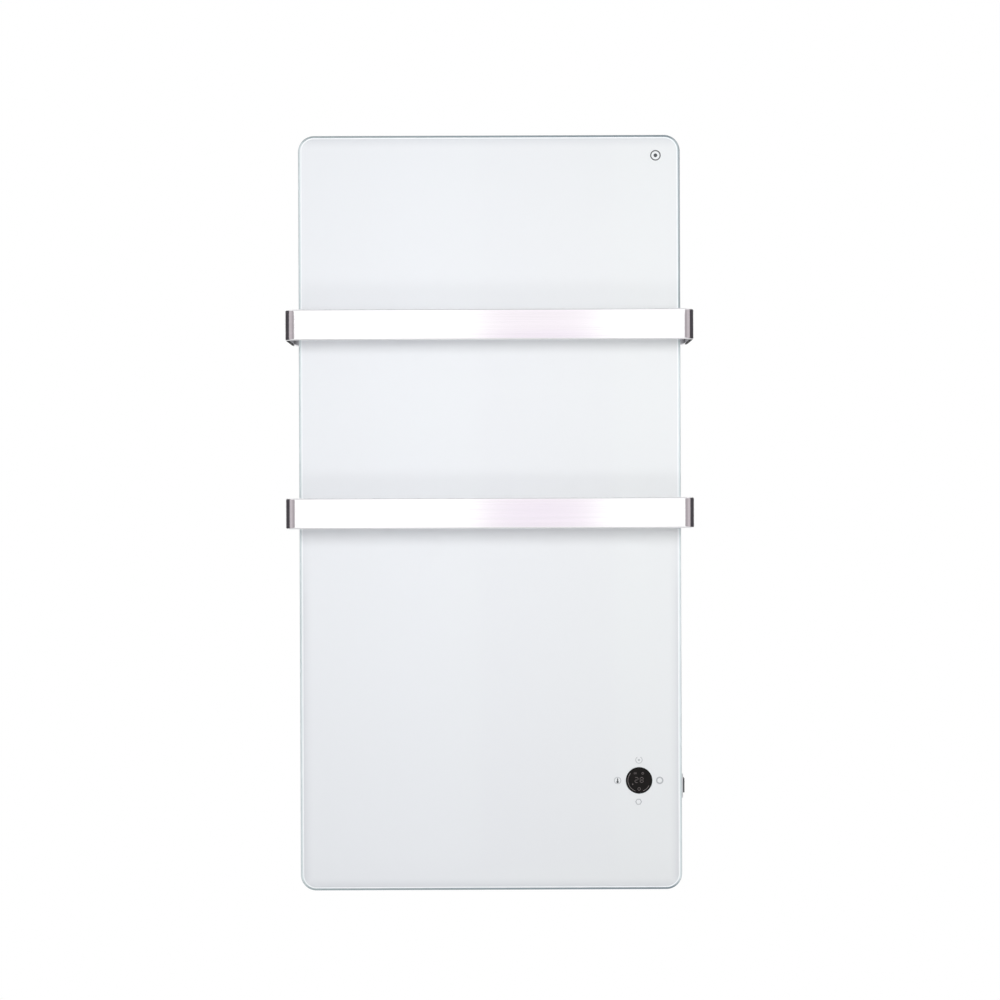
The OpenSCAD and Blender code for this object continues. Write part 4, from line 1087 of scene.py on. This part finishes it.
def flat_card(name, corners):
    """A flat studio surface from its corners, and the node tree of its material."""
    mesh = bpy.data.meshes.new(name)
    mesh.from_pydata(corners, [], [tuple(range(len(corners)))])
    made = bpy.data.objects.new(name, mesh)
    bpy.context.scene.collection.objects.link(made)
    look = bpy.data.materials.new(name)
    look.use_nodes = True
    look.node_tree.nodes.clear()
    mesh.materials.append(look)
    return made, look.node_tree


def upright(start, end, low, high):
    """Corners of an upright card that stands between two places of the floor plan."""
    return [(*start, low), (*end, low), (*end, high), (*start, high)]


def flag(name, corners, colour, strength=1):
    """A card that only reflections see."""
    made, tree = flat_card(name, corners)
    glow = add(tree, "ShaderNodeEmission", {"Color": linear(colour), "Strength": strength})
    add(tree, "ShaderNodeOutputMaterial", {"Surface": glow.outputs["Emission"]})
    made.visible_camera = False
    made.visible_diffuse = False
    made.visible_shadow = False
    made.visible_transmission = False


floor_edge = [2 * math.pi * i / 96 for i in range(96)]
floor_tree = flat_card("floor", [
    (floor_radius * math.cos(a), floor_radius * math.sin(a), floor_level) for a in floor_edge
])[1]
pale_grey = add(floor_tree, "ShaderNodeBsdfDiffuse", {"Color": linear("#F7F7F7")})
white_light = add(floor_tree, "ShaderNodeEmission", {"Color": linear("#FFFFFF"), "Strength": 1})
from_middle = add(floor_tree, "ShaderNodeVectorMath", {
    0: add(floor_tree, "ShaderNodeMapping", {
        "Vector": add(floor_tree, "ShaderNodeTexCoord").outputs["Object"],
        "Scale": (1, 1, 0),
    }).outputs["Vector"],
}, operation="LENGTH")
fading = add(floor_tree, "ShaderNodeMapRange", {
    "Value": from_middle.outputs["Value"], "From Min": shadow_reach, "From Max": floor_radius - 0.05,
}, interpolation_type="SMOOTHSTEP")
to_camera = add(floor_tree, "ShaderNodeMath", {
    0: fading.outputs["Result"],
    1: add(floor_tree, "ShaderNodeLightPath").outputs["Is Camera Ray"],
}, operation="MULTIPLY")
floor_mix = add(floor_tree, "ShaderNodeMixShader", {
    "Fac": to_camera.outputs["Value"], 1: pale_grey.outputs["BSDF"],
    2: white_light.outputs["Emission"],
})
above_only = add(floor_tree, "ShaderNodeMixShader", {
    "Fac": add(floor_tree, "ShaderNodeNewGeometry").outputs["Backfacing"],
    1: floor_mix.outputs["Shader"],
    2: add(floor_tree, "ShaderNodeBsdfTransparent").outputs["BSDF"],
})
add(floor_tree, "ShaderNodeOutputMaterial", {"Surface": above_only.outputs["Shader"]})

flag_low = -0.5
flag_high = 0.7
for side in (-1, 1):
    for name, shade, (x1, y1), (x2, y2) in (
        ("black_flag", "#4A474B", (0.95, 0.75), (0.95, -0.35)),
        ("pale_flag", "#C8C0C4", (0.95, -0.35), (0.85, -0.96)),
        ("mauve_flag", "#AFA8AC", (0.85, -0.96), (0.7, -2.7)),
    ):
        flag(name, upright((side * x1, y1), (side * x2, y2), flag_low, flag_high), shade)
flag("rear_flag", upright((-0.9, 2.6), (0.9, 2.6), -0.32, 0.65), "#1B1A1D")
card_low = -1.0
card_split = 0.3
card_high = 1.5
flag("front_card", upright((-1.1, -2.9), (1.1, -2.9), card_low, card_high), "#FFFFFF", 1.2)
for low, high, shade in ((card_low, card_split, "#F9F1FB"), (card_split, card_high, "#FEF8FE")):
    flag("lavender_card", upright((-0.04, -2.89), (0.33, -2.89), low, high), shade)
flag("ceiling_card", [(-0.9, -1.9, 1.6), (0.9, -1.9, 1.6), (0.9, -0.2, 1.6), (-0.9, -0.2, 1.6)],
     "#C9C8CC")


def soft_lamp(name, place, aim, width, height, power):
    """A rectangular soft lamp that reflections don't see."""
    lamp = bpy.data.objects.new(name, bpy.data.lights.new(name, "AREA"))
    lamp.data.shape = "RECTANGLE"
    lamp.data.size = width
    lamp.data.size_y = height
    lamp.data.energy = power
    lamp.visible_camera = False
    lamp.visible_glossy = False
    toward = (Vector(aim) - Vector(place)).to_track_quat("-Z", "Y").to_matrix().to_4x4()
    lamp.matrix_world = Matrix.Translation(place) @ toward
    bpy.context.scene.collection.objects.link(lamp)


soft_lamp("key_lamp", (0.15, -1.15, 0.27), (0.15, 0, 0.3), width=1.4, height=0.46, power=7.5)
soft_lamp("low_lamp", (0.1, -1.6, -0.95), (0, 0, -0.7), width=1.4, height=0.4, power=3.5)
soft_lamp("back_lamp", (0.6, 2.2, 1.2), (0, 0, 0), width=1.2, height=1.0, power=26)

world = bpy.data.worlds.new("studio")
bpy.context.scene.world = world
world.use_nodes = True
sky = world.node_tree
sky.nodes.clear()
ray = add(sky, "ShaderNodeLightPath")
seen = add(sky, "ShaderNodeMath", {
    0: ray.outputs["Is Camera Ray"], 1: ray.outputs["Is Glossy Ray"],
}, operation="MAXIMUM")
shown = add(sky, "ShaderNodeMath", {
    0: seen.outputs["Value"], 1: ray.outputs["Is Transmission Ray"],
}, operation="MAXIMUM")
fill = add(sky, "ShaderNodeBackground", {"Color": linear("#F4F5F7"), "Strength": 0.56})
white = add(sky, "ShaderNodeBackground", {"Color": linear("#FFFFFF"), "Strength": 1})
mixed = add(sky, "ShaderNodeMixShader", {
    "Fac": shown.outputs["Value"], 1: fill.outputs["Background"], 2: white.outputs["Background"],
})
add(sky, "ShaderNodeOutputWorld", {"Surface": mixed.outputs["Shader"]})
bpy.context.scene.view_settings.view_transform = "Standard"
